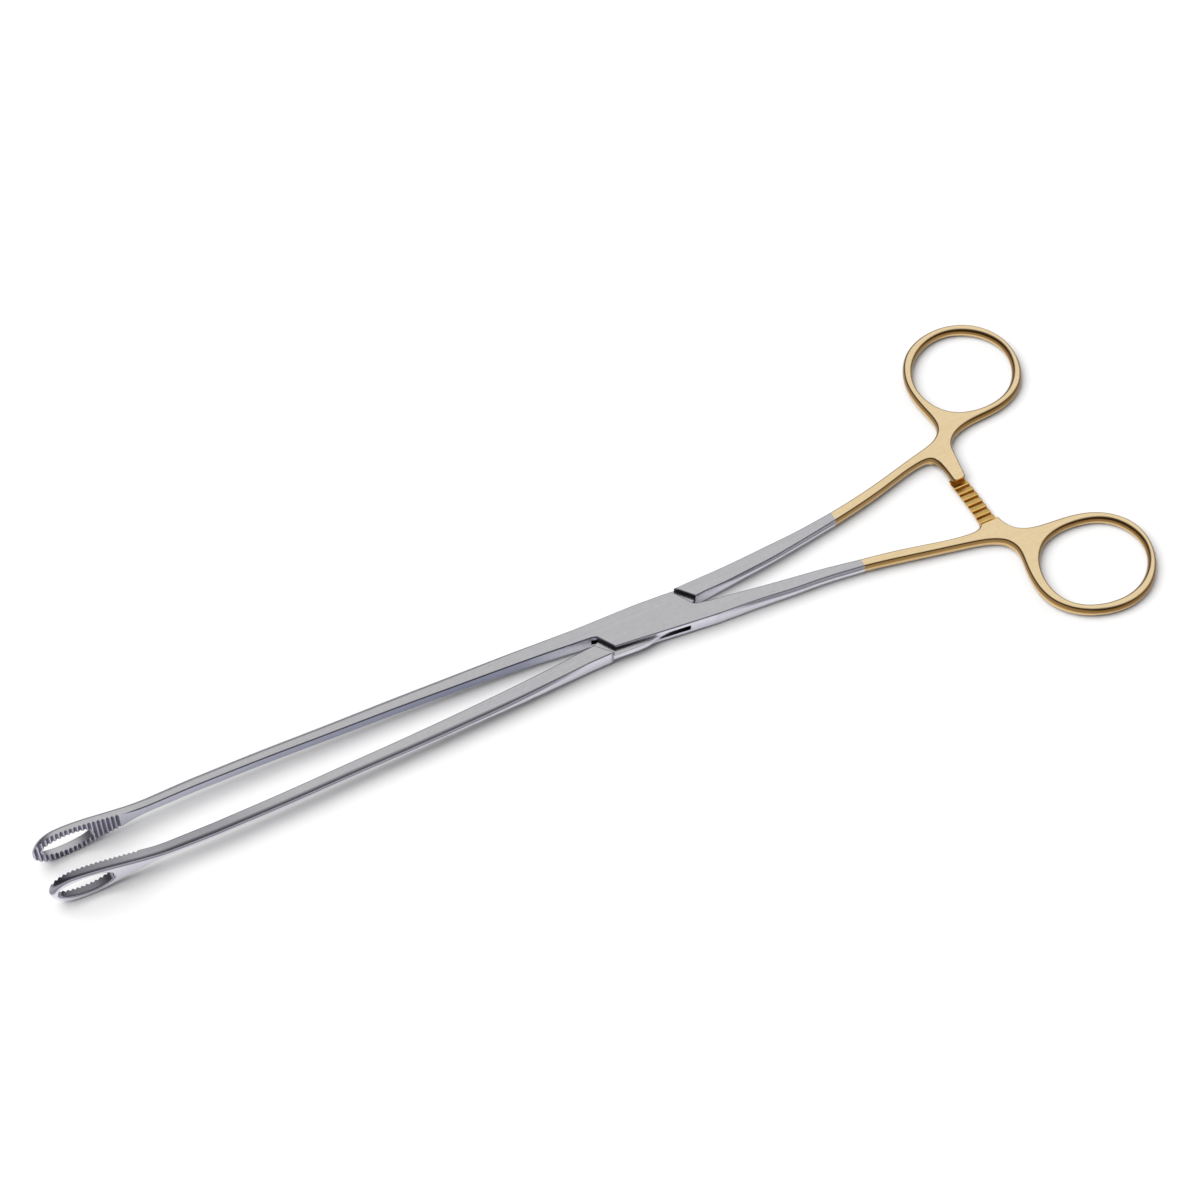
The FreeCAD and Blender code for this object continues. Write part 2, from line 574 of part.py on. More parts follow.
# ---------------------------------------------------------------- output
NODES = [box_jaw, box_front, box, box_rear, box_handle, lower_bar, box_ring,
         tongue_jaw, tongue_front, tongue, tongue_rear, tongue_handle, upper_bar, tongue_ring, pin]
doc.recompute()
bad = [o.Label for o in doc.Objects if "Invalid" in o.State or "Error" in o.State]
if bad:
    raise RuntimeError("failed objects: " + ", ".join(bad))
os.makedirs("parts", exist_ok=True)
for node in NODES:
    shape = node.Shape
    if shape.isNull() or not shape.isValid() or len(shape.Solids) != 1:
        raise RuntimeError("%s is not one valid solid (%d)" % (node.Label, len(shape.Solids)))
for node in NODES:
    node.Shape.exportStep(os.path.join("parts", node.Label + ".step"))
    bb = node.Shape.BoundBox
    print("%-26s vol %8.1f  x %8.2f %8.2f  y %7.2f %7.2f  z %6.2f %6.2f" % (
        node.Label, node.Shape.Volume, bb.XMin, bb.XMax, bb.YMin, bb.YMax, bb.ZMin, bb.ZMax))
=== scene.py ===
import bpy
import math
import numpy as np
from mathutils import Matrix, Vector
from mathutils.geometry import delaunay_2d_cdt


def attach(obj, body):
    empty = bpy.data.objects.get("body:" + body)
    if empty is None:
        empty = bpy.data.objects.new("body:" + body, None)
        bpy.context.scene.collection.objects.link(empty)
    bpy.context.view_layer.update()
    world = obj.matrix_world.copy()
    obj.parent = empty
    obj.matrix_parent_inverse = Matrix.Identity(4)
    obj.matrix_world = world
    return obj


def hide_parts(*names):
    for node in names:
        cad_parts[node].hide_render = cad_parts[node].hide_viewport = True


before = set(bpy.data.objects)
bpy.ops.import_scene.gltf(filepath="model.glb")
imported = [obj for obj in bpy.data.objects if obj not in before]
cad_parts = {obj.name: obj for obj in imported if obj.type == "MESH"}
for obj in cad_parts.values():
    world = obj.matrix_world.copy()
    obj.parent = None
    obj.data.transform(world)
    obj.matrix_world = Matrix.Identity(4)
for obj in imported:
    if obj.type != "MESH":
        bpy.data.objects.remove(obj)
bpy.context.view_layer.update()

MM = 0.001
ZM = 1.95            # mid-plane of the instrument, mm above the box underside

# ------------------------------------------------------------------ tables, mm
# plan outlines of the gilt handles, the same as in the CAD
TONGUE_OUTER = [
    (37.78, 6.28), (41.58, 6.68), (45.24, 7.13), (48.91, 7.66), (52.57, 8.28), (56.20, 8.98),
    (59.66, 9.73), (63.37, 10.64), (67.21, 11.64), (70.95, 12.60), (74.47, 13.46),
    (76.45, 14.04), (77.61, 14.56), (78.53, 15.19), (79.22, 15.84), (79.67, 16.46),
    (79.99, 17.13), (80.18, 17.86), (80.26, 18.78), (80.17, 20.36), (79.72, 23.40),
    (79.46, 25.96), (79.43, 28.20), (79.61, 29.97), (80.01, 31.74), (80.66, 33.48),
    (81.44, 35.00), (82.42, 36.41), (83.46, 37.56), (84.65, 38.55), (85.95, 39.38),
    (87.49, 40.10), (89.27, 40.66), (90.95, 40.96), (92.82, 41.08), (94.69, 40.97),
    (96.52, 40.62), (98.14, 40.11), (99.66, 39.41), (101.07, 38.52), (102.22, 37.55),
    (103.34, 36.33), (104.28, 34.96), (105.04, 33.48), (105.55, 32.04), (105.91, 30.38),
    (106.04, 28.66), (105.95, 26.92), (105.63, 25.19), (105.11, 23.52), (104.45, 22.08),
    (103.54, 20.62), (102.66, 19.56), (101.54, 18.54), (100.17, 17.62), (98.69, 16.89),
    (96.97, 16.29), (95.04, 15.85), (92.62, 15.58), (89.31, 15.38), (86.98, 15.13),
    (85.14, 14.76), (83.79, 14.29), (82.67, 13.72), (81.81, 13.07), (81.27, 12.51),
    (80.77, 11.75), (80.48, 11.00), (80.31, 10.18), (80.25, 9.15), (80.39, 7.92)]
TONGUE_INNER = [
    (39.00, 3.29), (43.03, 3.97), (46.97, 4.65), (50.80, 5.35), (54.62, 6.11), (58.24, 6.90),
    (61.73, 7.76), (65.29, 8.74), (68.55, 9.62), (71.17, 10.15), (73.04, 10.36),
    (73.85, 10.34), (74.32, 10.23), (74.66, 10.07), (74.90, 9.90), (75.11, 9.67),
    (75.34, 9.28), (75.55, 8.71), (75.65, 8.11), (75.63, 7.64)]
TONGUE_HOLE = [
    (81.42, 28.33), (81.56, 25.90), (82.24, 23.55), (83.52, 21.33), (85.18, 19.70),
    (87.24, 18.58), (89.76, 17.91), (92.26, 17.71), (94.75, 17.92), (97.12, 18.57),
    (99.27, 19.69), (101.23, 21.42), (102.67, 23.44), (103.66, 25.71), (104.13, 28.26),
    (103.96, 30.58), (103.18, 32.76), (101.88, 34.74), (100.14, 36.43), (97.93, 37.83),
    (95.63, 38.66), (93.22, 38.97), (90.61, 38.67), (88.27, 37.87), (86.16, 36.65),
    (84.35, 35.03), (82.91, 33.07), (81.86, 30.70)]
BOX_OUTER = [
    (38.17, 7.12), (41.38, 7.32), (44.73, 7.68), (48.23, 8.18), (51.86, 8.81), (55.63, 9.55),
    (59.67, 10.38), (63.69, 11.22), (67.72, 12.05), (71.52, 12.84), (74.27, 13.51),
    (76.21, 14.19), (77.62, 14.91), (78.38, 15.46), (78.91, 16.00), (79.31, 16.62),
    (79.59, 17.30), (79.75, 18.05), (79.80, 19.10), (79.63, 20.47), (79.09, 23.14),
    (78.74, 25.63), (78.64, 27.82), (78.76, 29.66), (79.09, 31.29), (79.58, 32.71),
    (80.27, 34.03), (81.23, 35.37), (82.36, 36.59), (83.77, 37.75), (85.33, 38.75),
    (87.00, 39.56), (88.91, 40.23), (90.88, 40.67), (92.72, 40.85), (94.55, 40.82),
    (96.36, 40.56), (97.96, 40.12), (99.48, 39.47), (100.78, 38.69), (102.09, 37.64),
    (103.27, 36.42), (104.29, 35.05), (105.22, 33.43), (105.93, 31.71), (106.39, 30.06),
    (106.63, 28.39), (106.64, 26.71), (106.45, 25.20), (106.09, 23.87), (105.48, 22.46),
    (104.74, 21.27), (103.74, 20.06), (102.47, 18.88), (101.09, 17.89), (99.50, 17.03),
    (97.69, 16.33), (95.67, 15.80), (93.14, 15.39), (89.93, 15.10), (86.93, 14.82),
    (85.25, 14.54), (83.96, 14.15), (82.92, 13.63), (82.19, 13.10), (81.54, 12.43),
    (80.99, 11.63), (80.61, 10.73), (80.41, 9.90), (80.37, 9.04), (80.46, 8.31)]
BOX_INNER = [
    (37.11, 3.97), (40.76, 4.62), (44.63, 5.25), (48.72, 5.90), (52.49, 6.52), (56.16, 7.18),
    (59.70, 7.92), (63.43, 8.77), (66.95, 9.54), (70.00, 10.07), (72.67, 10.36),
    (73.84, 10.37), (74.44, 10.27), (74.89, 10.10), (75.15, 9.93), (75.44, 9.65),
    (75.65, 9.35), (75.86, 8.88), (76.03, 8.15)]
BOX_HOLE = [
    (86.20, 19.30), (88.43, 18.39), (90.94, 17.96), (93.76, 17.98), (96.33, 18.36),
    (98.67, 19.06), (100.86, 20.27), (102.57, 21.94), (103.86, 24.04), (104.62, 26.39),
    (104.75, 28.80), (104.13, 31.29), (102.96, 33.45), (101.33, 35.32), (99.22, 36.90),
    (97.03, 37.88), (94.67, 38.41), (92.20, 38.49), (89.66, 38.14), (87.00, 37.29),
    (84.82, 36.06), (83.14, 34.42), (81.95, 32.23), (81.41, 29.91), (81.39, 27.47),
    (81.88, 25.05), (82.84, 22.80), (84.36, 20.75)]

# shank sections: x, flat top from inner to outer edge, bulge of the two sides, half thickness
FRONT = [
    (-14.75, 1.15, 4.47, 0.03, 0.05, 1.95), (-22.10, 1.80, 4.58, 0.04, 0.50, 1.72),
    (-31.30, 2.41, 4.74, 0.04, 0.92, 1.52), (-42.40, 3.00, 4.92, 0.04, 1.18, 1.40),
    (-55.30, 3.58, 5.23, 0.04, 1.22, 1.36), (-70.00, 4.06, 5.49, 0.04, 1.20, 1.33),
    (-84.80, 4.54, 5.88, 0.04, 1.15, 1.32), (-99.50, 4.75, 6.02, 0.04, 1.10, 1.32)]
REAR_TONGUE = [
    (14.75, 0.98, 4.48, 0.10, 0.08, 1.95), (20.28, 1.55, 4.64, 0.40, 0.18, 1.72),
    (25.80, 2.15, 4.92, 0.55, 0.30, 1.58), (31.33, 2.77, 5.29, 0.60, 0.40, 1.46),
    (39.63, 4.04, 5.92, 0.60, 0.50, 1.37), (48.40, 5.517, 6.986, 0.60, 0.60, 1.35)]
REAR_BOX = [
    (14.75, 1.56, 5.33, 0.08, 0.15, 1.95), (20.28, 2.38, 5.41, 0.20, 0.40, 1.88),
    (25.80, 3.21, 5.71, 0.30, 0.50, 1.74), (31.33, 3.92, 6.15, 0.40, 0.55, 1.54),
    (39.63, 4.95, 6.61, 0.50, 0.60, 1.38), (48.40, 6.450, 7.605, 0.60, 0.60, 1.35)]
GILT_X = 48.4


# ------------------------------------------------------------------ curve tools
def smooth_path(pts, step, closed=False):
    """Points every step along a smooth curve through pts (centripetal Catmull-Rom)."""
    p = [np.array(q, float) for q in pts]
    n = len(p)
    out = []
    spans = n if closed else n - 1
    for i in range(spans):
        p1, p2 = p[i], p[(i + 1) % n]
        p0 = p[i - 1] if (i or closed) else 2 * p1 - p2
        p3 = p[(i + 2) % n] if (i + 2 < n or closed) else 2 * p2 - p1
        t0 = 0.0
        t1 = t0 + max(np.linalg.norm(p1 - p0), 1e-6) ** 0.5
        t2 = t1 + max(np.linalg.norm(p2 - p1), 1e-6) ** 0.5
        t3 = t2 + max(np.linalg.norm(p3 - p2), 1e-6) ** 0.5
        m = max(1, int(round(np.linalg.norm(p2 - p1) / step)))
        for k in range(m):
            t = t1 + (t2 - t1) * k / m
            a1 = (t1 - t) / (t1 - t0) * p0 + (t - t0) / (t1 - t0) * p1
            a2 = (t2 - t) / (t2 - t1) * p1 + (t - t1) / (t2 - t1) * p2
            a3 = (t3 - t) / (t3 - t2) * p2 + (t - t2) / (t3 - t2) * p3
            b1 = (t2 - t) / (t2 - t0) * a1 + (t - t0) / (t2 - t0) * a2
            b2 = (t3 - t) / (t3 - t1) * a2 + (t - t1) / (t3 - t1) * a3
            out.append((t2 - t) / (t2 - t1) * b1 + (t - t1) / (t2 - t1) * b2)
    if not closed:
        out.append(p[-1])
    return np.array(out)


def relax(pts, rounds, closed=False):
    """Takes small waves out of a dense curve; the ends of an open one stay put."""
    p = np.array(pts, float)
    for _ in range(rounds):
        q = 0.25 * np.roll(p, 1, 0) + 0.5 * p + 0.25 * np.roll(p, -1, 0)
        if not closed:
            q[0], q[-1] = p[0], p[-1]
        p = q
    return p


def table(rows, x, col):
    """Smooth value of a section table's column at x."""
    rows = sorted(rows)
    xs = np.array([r[0] for r in rows])
    ys = np.array([r[col] for r in rows])
    d = np.gradient(ys, xs)
    i = int(np.clip(np.searchsorted(xs, x) - 1, 0, len(xs) - 2))
    h = xs[i + 1] - xs[i]
    t = min(max((x - xs[i]) / h, 0.0), 1.0)
    return ((2 * t ** 3 - 3 * t * t + 1) * ys[i] + (t ** 3 - 2 * t * t + t) * h * d[i]
            + (-2 * t ** 3 + 3 * t * t) * ys[i + 1] + (t ** 3 - t * t) * h * d[i + 1])


def corner(prev, at, nxt, radius, steps=5):
    """Rounds a plan corner with a small arc."""
    a, b, c = (np.array(v, float) for v in (prev, at, nxt))
    u, w = (a - b) / np.linalg.norm(a - b), (c - b) / np.linalg.norm(c - b)
    ang = math.acos(max(-1, min(1, float(u @ w))))
    if ang > math.radians(176):
        return [b]
    cut = min(radius / math.tan(ang / 2), 0.45 * np.linalg.norm(a - b), 0.45 * np.linalg.norm(c - b))
    p, q = b + u * cut, b + w * cut
    return [(1 - t) ** 2 * p + 2 * t * (1 - t) * b + t * t * q for t in np.linspace(0, 1, steps)]


def dense(pts, step):
    """Straight runs between pts, with points no further apart than step."""
    out = []
    for a, b in zip(pts, pts[1:]):
        a, b = np.array(a, float), np.array(b, float)
        m = max(1, int(math.ceil(np.linalg.norm(b - a) / step)))
        out += [a + (b - a) * k / m for k in range(m)]
    out.append(np.array(pts[-1], float))
    return out


# ------------------------------------------------------------------ mesh builder
class Builder:
    """Collects vertices in mm and faces with their own corner normals."""

    def __init__(self):
        self.v, self.f, self.n, self.m = [], [], [], []
        self.use = 0

    def add(self, p):
        self.v.append(tuple(float(c) for c in p))
        return len(self.v) - 1

    def face(self, ids, normals=None):
        clean_ids, clean_n = [], []
        for k, i in enumerate(ids):
            if i not in clean_ids:
                clean_ids.append(i)
                clean_n.append(None if normals is None else normals[k])
        if len(clean_ids) < 3:
            return
        if normals is None:
            p = [np.array(self.v[i]) for i in clean_ids]
            nn = np.zeros(3)
            for a, b in zip(p, p[1:] + p[:1]):
                nn += np.cross(a, b)
            nn /= max(np.linalg.norm(nn), 1e-12)
            clean_n = [nn] * len(clean_ids)
        self.f.append(clean_ids)
        self.n.append(clean_n)
        self.m.append(self.use)

    def facing(self, ids, normals, side=None):
        """A face wound to agree with its normals, or flat and turned towards side."""
        p = [np.array(self.v[i]) for i in ids]
        nn = np.zeros(3)
        for a, b in zip(p, p[1:] + p[:1]):
            nn += np.cross(a, b)
        want = sum(np.array(v, float) for v in normals) if side is None else np.array(side, float)
        if float(nn @ want) < 0:
            ids = list(ids)[::-1]
            normals = None if normals is None else list(normals)[::-1]
        self.face(ids, normals)

    def flipped(self, axis=1):
        """Mirrors everything across the plane through the origin."""
        for i, p in enumerate(self.v):
            q = list(p)
            q[axis] = -q[axis]
            self.v[i] = tuple(q)
        for k in range(len(self.f)):
            self.f[k] = self.f[k][::-1]
            nn = []
            for v in self.n[k][::-1]:
                w = np.array(v, float)
                w[axis] = -w[axis]
                nn.append(w)
            self.n[k] = nn
        return self

    def build(self, name, material, smooth=True):
        me = bpy.data.meshes.new(name)
        me.from_pydata([tuple(c * MM for c in p) for p in self.v], [], self.f)
        me.validate(verbose=False)
        me.update()
        if len(me.polygons) == len(self.m):
            me.polygons.foreach_set("material_index", self.m)
        if smooth and len(me.loops) == sum(len(f) for f in self.f):
            me.polygons.foreach_set("use_smooth", [True] * len(me.polygons))
            flat = []
            for nn in self.n:
                for v in nn:
                    w = np.array(v, float)
                    flat.append(tuple(w / max(np.linalg.norm(w), 1e-9)))
            me.normals_split_custom_set(flat)
        for one in material if isinstance(material, (list, tuple)) else [material]:
            me.materials.append(one)
        ob = bpy.data.objects.new(name, me)
        bpy.context.scene.collection.objects.link(ob)
        return ob


def inside(loops, x, y):
    c = False
    for L in loops:
        n = len(L)
        for i in range(n):
            x1, y1 = L[i][0], L[i][1]
            x2, y2 = L[(i + 1) % n][0], L[(i + 1) % n][1]
            if (y1 > y) != (y2 > y) and x < (x2 - x1) * (y - y1) / (y2 - y1) + x1:
                c = not c
    return c


def cap(b, rings, place, up, normal_of, flat_of=None):
    """Fills the region inside closed rings of vertex ids with triangles.
    place(i) gives a vertex's plan coordinates, up is +1 or -1 for the winding."""
    pts, edges, ids, loops = [], [], [], []
    for ring in rings:
        s = len(pts)
        loop = [place(i) for i in ring]
        loops.append(loop)
        pts += [Vector(p) for p in loop]
        ids += list(ring)
        edges += [(s + k, s + (k + 1) % len(ring)) for k in range(len(ring))]
    res = delaunay_2d_cdt(pts, edges, [], 0, 1e-7, True)
    coords, faces, orig = res[0], res[2], res[3]
    ring_edges = {frozenset(e) for e, o in zip(res[1], res[4]) if o}
    patch = list(range(len(faces)))

    def root(k):
        while patch[k] != k:
            k = patch[k]
        return k

    def area(f):
        return 0.5 * sum(coords[f[k - 1]].x * coords[f[k]].y - coords[f[k]].x * coords[f[k - 1]].y
                         for k in range(len(f)))

    seen = {}
    for k, f in enumerate(faces):
        for i in range(len(f)):
            e = frozenset((f[i], f[i - 1]))
            if e in seen and e not in ring_edges:
                patch[root(k)] = root(seen[e])
            seen[e] = k
    widest = {}
    for k, f in enumerate(faces):
        r = root(k)
        if r not in widest or abs(area(f)) > abs(area(faces[widest[r]])):
            widest[r] = k
    keep = set()
    for r, k in widest.items():
        c = sum((coords[i] for i in faces[k]), Vector((0, 0))) / len(faces[k])
        if abs(area(faces[k])) > 1e-4 and inside(loops, c.x, c.y):
            keep.add(r)
    for k, f in enumerate(faces):
        if root(k) not in keep:
            continue
        tri = [ids[orig[i][0]] for i in f if orig[i]]
        if len(tri) < 3:
            continue
        if (area(f) > 0) != (up > 0):
            tri = tri[::-1]
        b.face(tri, [normal_of(i) for i in tri])


def edge_profile(z, h, bulge, r):
    """Inset of a side wall at height z over the mid-plane, and its slope there: a bowed
    wall that turns into the flat over the rounding r."""
    i0 = max(bulge - r, 0.25 * bulge)
    ins, slope = i0 * (z / h) ** 2, 2 * i0 * z / h ** 2
    c = (z - (h - r)) / r
    if c > 0:
        c = min(c, 1.0)
        s = math.sqrt(max(1 - c * c, 0.0))
        ins += r * (1 - s)
        slope += c / max(s, 0.02)
    return ins, slope


def outward(loop, cuts):
    """Unit normals of a loop, to its right when walked, and how far a vertex moves per
    unit of inset; vertices on a cut stay on the cut's line."""
    n = len(loop)
    seg = [loop[(i + 1) % n] - loop[i] for i in range(n)]
    unit, move = [], []
    for i in range(n):
        use = []
        if (i - 1) % n not in cuts:
            use.append(seg[i - 1] / max(np.linalg.norm(seg[i - 1]), 1e-9))
        if i not in cuts:
            use.append(seg[i] / max(np.linalg.norm(seg[i]), 1e-9))
        d = sum(use)
        d = d / max(np.linalg.norm(d), 1e-9)
        m = np.array([d[1], -d[0]])
        unit.append(m)
        if len(use) == 2:
            move.append(m / max(0.5, float(np.array([use[0][1], -use[0][0]]) @ m)))
        else:
            c = seg[i] if i in cuts else seg[i - 1]
            c = c / max(np.linalg.norm(c), 1e-9)
            if float(c @ m) < 0:
                c = -c
            move.append(c / max(0.4, float(c @ m)))
    return np.array(unit), np.array(move)


def slab(b, loops, cuts, zmid, half, bulge, edge, levels=(-0.8, -0.4, 0.0, 0.4, 0.8), skip=None,
         to3d=None, steps=5):
    """A flat forging from its plan loops (outer anticlockwise, holes clockwise).
    The sides bow out by bulge(l, i) at mid height and turn into the flats over
    edge(l, i); half(l, i) is the half thickness.  Returns the vertex grid."""
    grid, gnorm = [], []
    for l, loop in enumerate(loops):
        unit, move = outward(loop, cuts[l])
        rows, normals = [], []
        for i, p in enumerate(loop):
            h, bb, r = half(l, i), bulge(l, i), edge(l, i)
            arc = [h - r + r * math.sin(math.pi / 2 * k / steps) for k in range(steps)] + [h]
            fit = min(1.0, (h - r - 0.05) / max(levels))
            zs = [-z for z in reversed(arc)] + [v * fit for v in levels] + arc
            ids, nn = [], []
            for z in zs:
                s, slope = edge_profile(abs(z), h, bb, r)
                q = p - move[i] * s
                ids.append(b.add((q[0], q[1], zmid + z)))
                v = np.array([unit[i][0], unit[i][1], math.copysign(slope, z)])
                nn.append(v / np.linalg.norm(v))
            rows.append(ids)
            normals.append(nn)
        grid.append(rows)
        gnorm.append(normals)
    return grid, gnorm


def close_slab(b, loops, cuts, grid, gnorm, top_normal, bottom_normal, place, skip=None, right_handed=True,
               caps=(True, True), use_of=None):
    for l, rows in enumerate(grid):
        n, m = len(rows), len(rows[0])
        N = gnorm[l]
        topn = [top_normal(rows[i][-1]) for i in range(n)]
        botn = [bottom_normal(rows[i][0]) for i in range(n)]
        for i in range(n):
            k = (i + 1) % n
            for j in range(m - 1):
                if skip and skip(l, i, j):
                    continue
                b.use = use_of(l, i, j) if use_of else 0
                ids = [rows[i][j], rows[k][j], rows[k][j + 1], rows[i][j + 1]]
                if i in cuts[l]:
                    b.face(ids if right_handed else ids[::-1])
                    continue
                nn = [N[i][j], N[k][j], N[k][j + 1], N[i][j + 1]]
                if j == 0:
                    nn[0], nn[1] = botn[i], botn[k]
                if j == m - 2:
                    nn[2], nn[3] = topn[k], topn[i]
                b.face(ids if right_handed else ids[::-1], nn if right_handed else nn[::-1])
    b.use = 0
    hand = 1 if right_handed else -1
    if caps[1]:
        cap(b, [[r[-1] for r in rows] for rows in grid], place, hand, top_normal)
    if caps[0]:
        cap(b, [[r[0] for r in rows] for rows in grid], place, -hand, bottom_normal)


# ------------------------------------------------------------------ materials
def nodes_of(name):
    m = bpy.data.materials.new(name)
    m.use_nodes = True
    nt = m.node_tree
    return m, nt, nt.nodes["Principled BSDF"]


def ramp(nt, fac, stops):
    r = nt.nodes.new("ShaderNodeValToRGB")
    while len(r.color_ramp.elements) < len(stops):
        r.color_ramp.elements.new(0.5)
    for e, (pos, col) in zip(r.color_ramp.elements, stops):
        e.position = pos
        e.color = (*col, 1)
    nt.links.new(fac, r.inputs["Fac"])
    return r


def span(nt, fac, lo_, hi_):
    r = nt.nodes.new("ShaderNodeMapRange")
    r.inputs["To Min"].default_value = lo_
    r.inputs["To Max"].default_value = hi_
    nt.links.new(fac, r.inputs["Value"])
    return r


def noise(nt, vector, scale, detail=3.0, rough=0.55):
    n = nt.nodes.new("ShaderNodeTexNoise")
    n.inputs["Scale"].default_value = scale
    n.inputs["Detail"].default_value = detail
    n.inputs["Roughness"].default_value = rough
    nt.links.new(vector, n.inputs["Vector"])
    return n


def stretched(nt, scale, angle=0.0):
    tc = nt.nodes.new("ShaderNodeTexCoord")
    mp = nt.nodes.new("ShaderNodeMapping")
    mp.inputs["Scale"].default_value = scale
    mp.inputs["Rotation"].default_value = (0, 0, angle)
    nt.links.new(tc.outputs["Object"], mp.inputs["Vector"])
    return mp.outputs["Vector"]


def metal(name, base_lo, base_hi, rough_lo, rough_hi, grain=(60, 5200, 5200), grain_bump=0.05, angle=0.0,
          mottle=900.0, painted_side_shade=(0.55, 0.56, 0.66), painted_edge_shade=(0.8, 0.8, 0.8), painted_under_reflection=None, flat=1.0, patch=None,
          one_side=False):
    """Satin metal: long brush lines, faint cloudy polish marks and a fine bump, with light and shade painted into the
    colour by how the surface turns: painted shade on the sides and rounded edges, painted reflection on faces turned
    down.
    """
    m, nt, p = nodes_of(name)
    p.inputs["Metallic"].default_value = 1.0
    lines = noise(nt, stretched(nt, grain, angle), 1.0, 4.0, 0.6)
    cloud = noise(nt, stretched(nt, (1, 1, 1)), mottle, 3.0, 0.5)
    mix = nt.nodes.new("ShaderNodeMix")
    mix.data_type = "FLOAT"
    mix.inputs["Factor"].default_value = 0.35
    nt.links.new(lines.outputs["Fac"], mix.inputs["A"])
    nt.links.new(cloud.outputs["Fac"], mix.inputs["B"])
    fac = mix.outputs["Result"]
    col = ramp(nt, fac, [(0.30, base_lo), (0.70, base_hi)])
    # painted shade and painted reflection: the colour is multiplied by a ramp on the normal's Z, white on faces turned
    # down, the under tint just below the sides, the side and edge tints on the sides and rounded edges, and flat on the
    # top
    geo = nt.nodes.new("ShaderNodeNewGeometry")
    sz = nt.nodes.new("ShaderNodeSeparateXYZ")
    nt.links.new(geo.outputs["Normal"], sz.inputs["Vector"])
    rise = nt.nodes.new("ShaderNodeMapRange")
    rise.inputs["From Min"].default_value = -1.0
    nt.links.new(sz.outputs["Z"], rise.inputs["Value"])
    half_way = tuple(0.45 * (c + flat) for c in painted_edge_shade)
    side = ramp(nt, rise.outputs["Result"], [(0.34, (1.0, 1.0, 1.0)), (0.505, painted_under_reflection or painted_side_shade),
                                             (0.555, painted_side_shade), (0.74, painted_edge_shade), (0.85, painted_edge_shade), (0.92, half_way), (0.985, (flat, flat, flat))])
    tint = nt.nodes.new("ShaderNodeMix")
    tint.data_type = "RGBA"
    tint.blend_type = "MULTIPLY"
    tint.inputs["Factor"].default_value = 1.0
    nt.links.new(col.outputs["Color"], tint.inputs["A"])
    nt.links.new(side.outputs["Color"], tint.inputs["B"])
    # patch: a painted shade, the colour multiplied by the tone where a ramp along object x and the normal's turn both
    # allow; one_side keeps it to faces turned towards -y
    if patch:
        stops, (n0, n1), tone = patch
        place = nt.nodes.new("ShaderNodeTexCoord")
        px = nt.nodes.new("ShaderNodeSeparateXYZ")
        nt.links.new(place.outputs["Object"], px.inputs["Vector"])
        run = nt.nodes.new("ShaderNodeMapRange")
        run.inputs["From Min"].default_value = -0.14
        run.inputs["From Max"].default_value = 0.11
        nt.links.new(px.outputs["X"], run.inputs["Value"])
        where = ramp(nt, run.outputs["Result"], [((x + 0.14) / 0.25, (v, v, v)) for x, v in stops])
        turned = nt.nodes.new("ShaderNodeMapRange")
        turned.inputs["From Min"].default_value = n0
        turned.inputs["From Max"].default_value = n1
        nt.links.new(rise.outputs["Result"], turned.inputs["Value"])
        both = nt.nodes.new("ShaderNodeMath")
        both.operation = "MULTIPLY"
        nt.links.new(where.outputs["Color"], both.inputs[0])
        nt.links.new(turned.outputs["Result"], both.inputs[1])
        if one_side:
            facing = nt.nodes.new("ShaderNodeMapRange")
            facing.inputs["From Min"].default_value = 0.2
            facing.inputs["From Max"].default_value = -0.2
            nt.links.new(sz.outputs["Y"], facing.inputs["Value"])
            near = nt.nodes.new("ShaderNodeMath")
            near.operation = "MULTIPLY"
            nt.links.new(both.outputs["Value"], near.inputs[0])
            nt.links.new(facing.outputs["Result"], near.inputs[1])
            both = near
        painted_shade_mix = nt.nodes.new("ShaderNodeMix")
        painted_shade_mix.data_type = "RGBA"
        painted_shade_mix.blend_type = "MULTIPLY"
        nt.links.new(both.outputs["Value"], painted_shade_mix.inputs["Factor"])
        nt.links.new(tint.outputs["Result"], painted_shade_mix.inputs["A"])
        painted_shade_mix.inputs["B"].default_value = (*tone, 1)
        tint = painted_shade_mix
    nt.links.new(tint.outputs["Result"], p.inputs["Base Color"])
    nt.links.new(span(nt, fac, rough_lo, rough_hi).outputs["Result"], p.inputs["Roughness"])
    bump = nt.nodes.new("ShaderNodeBump")
    bump.inputs["Strength"].default_value = grain_bump
    bump.inputs["Distance"].default_value = 0.00005
    nt.links.new(lines.outputs["Fac"], bump.inputs["Height"])
    nt.links.new(bump.outputs["Normal"], p.inputs["Normal"])
    return m


# steel look: brushed colour, with the side, edge and under tints giving painted shade on the sides and edges and
# painted reflection below
STEEL_LOOK = dict(base_lo=(0.86, 0.85, 0.875), base_hi=(0.99, 0.98, 1.0), rough_lo=0.19, rough_hi=0.28,
                  grain=(30, 4200, 4200), grain_bump=0.02, painted_side_shade=(0.205, 0.20, 0.225),
                  painted_edge_shade=(0.41, 0.40, 0.435), painted_under_reflection=(0.80, 0.80, 0.87), flat=0.54)
STEEL = metal("satin_steel", **STEEL_LOOK)
# painted shade on walls turned towards -y along the front shank and far jaw, strongest mid-shank, weaker towards the
# jaw tip and nearly gone at the box
INNER = metal("inner_steel", one_side=True, patch=([(-0.125, 0.35), (-0.0995, 0.60), (-0.075, 0.85), (-0.040, 1.0),
                                     (-0.027, 0.9), (-0.0150, 0.1)], (0.90, 0.75),
                                    (0.30, 0.32, 0.39)), **STEEL_LOOK)
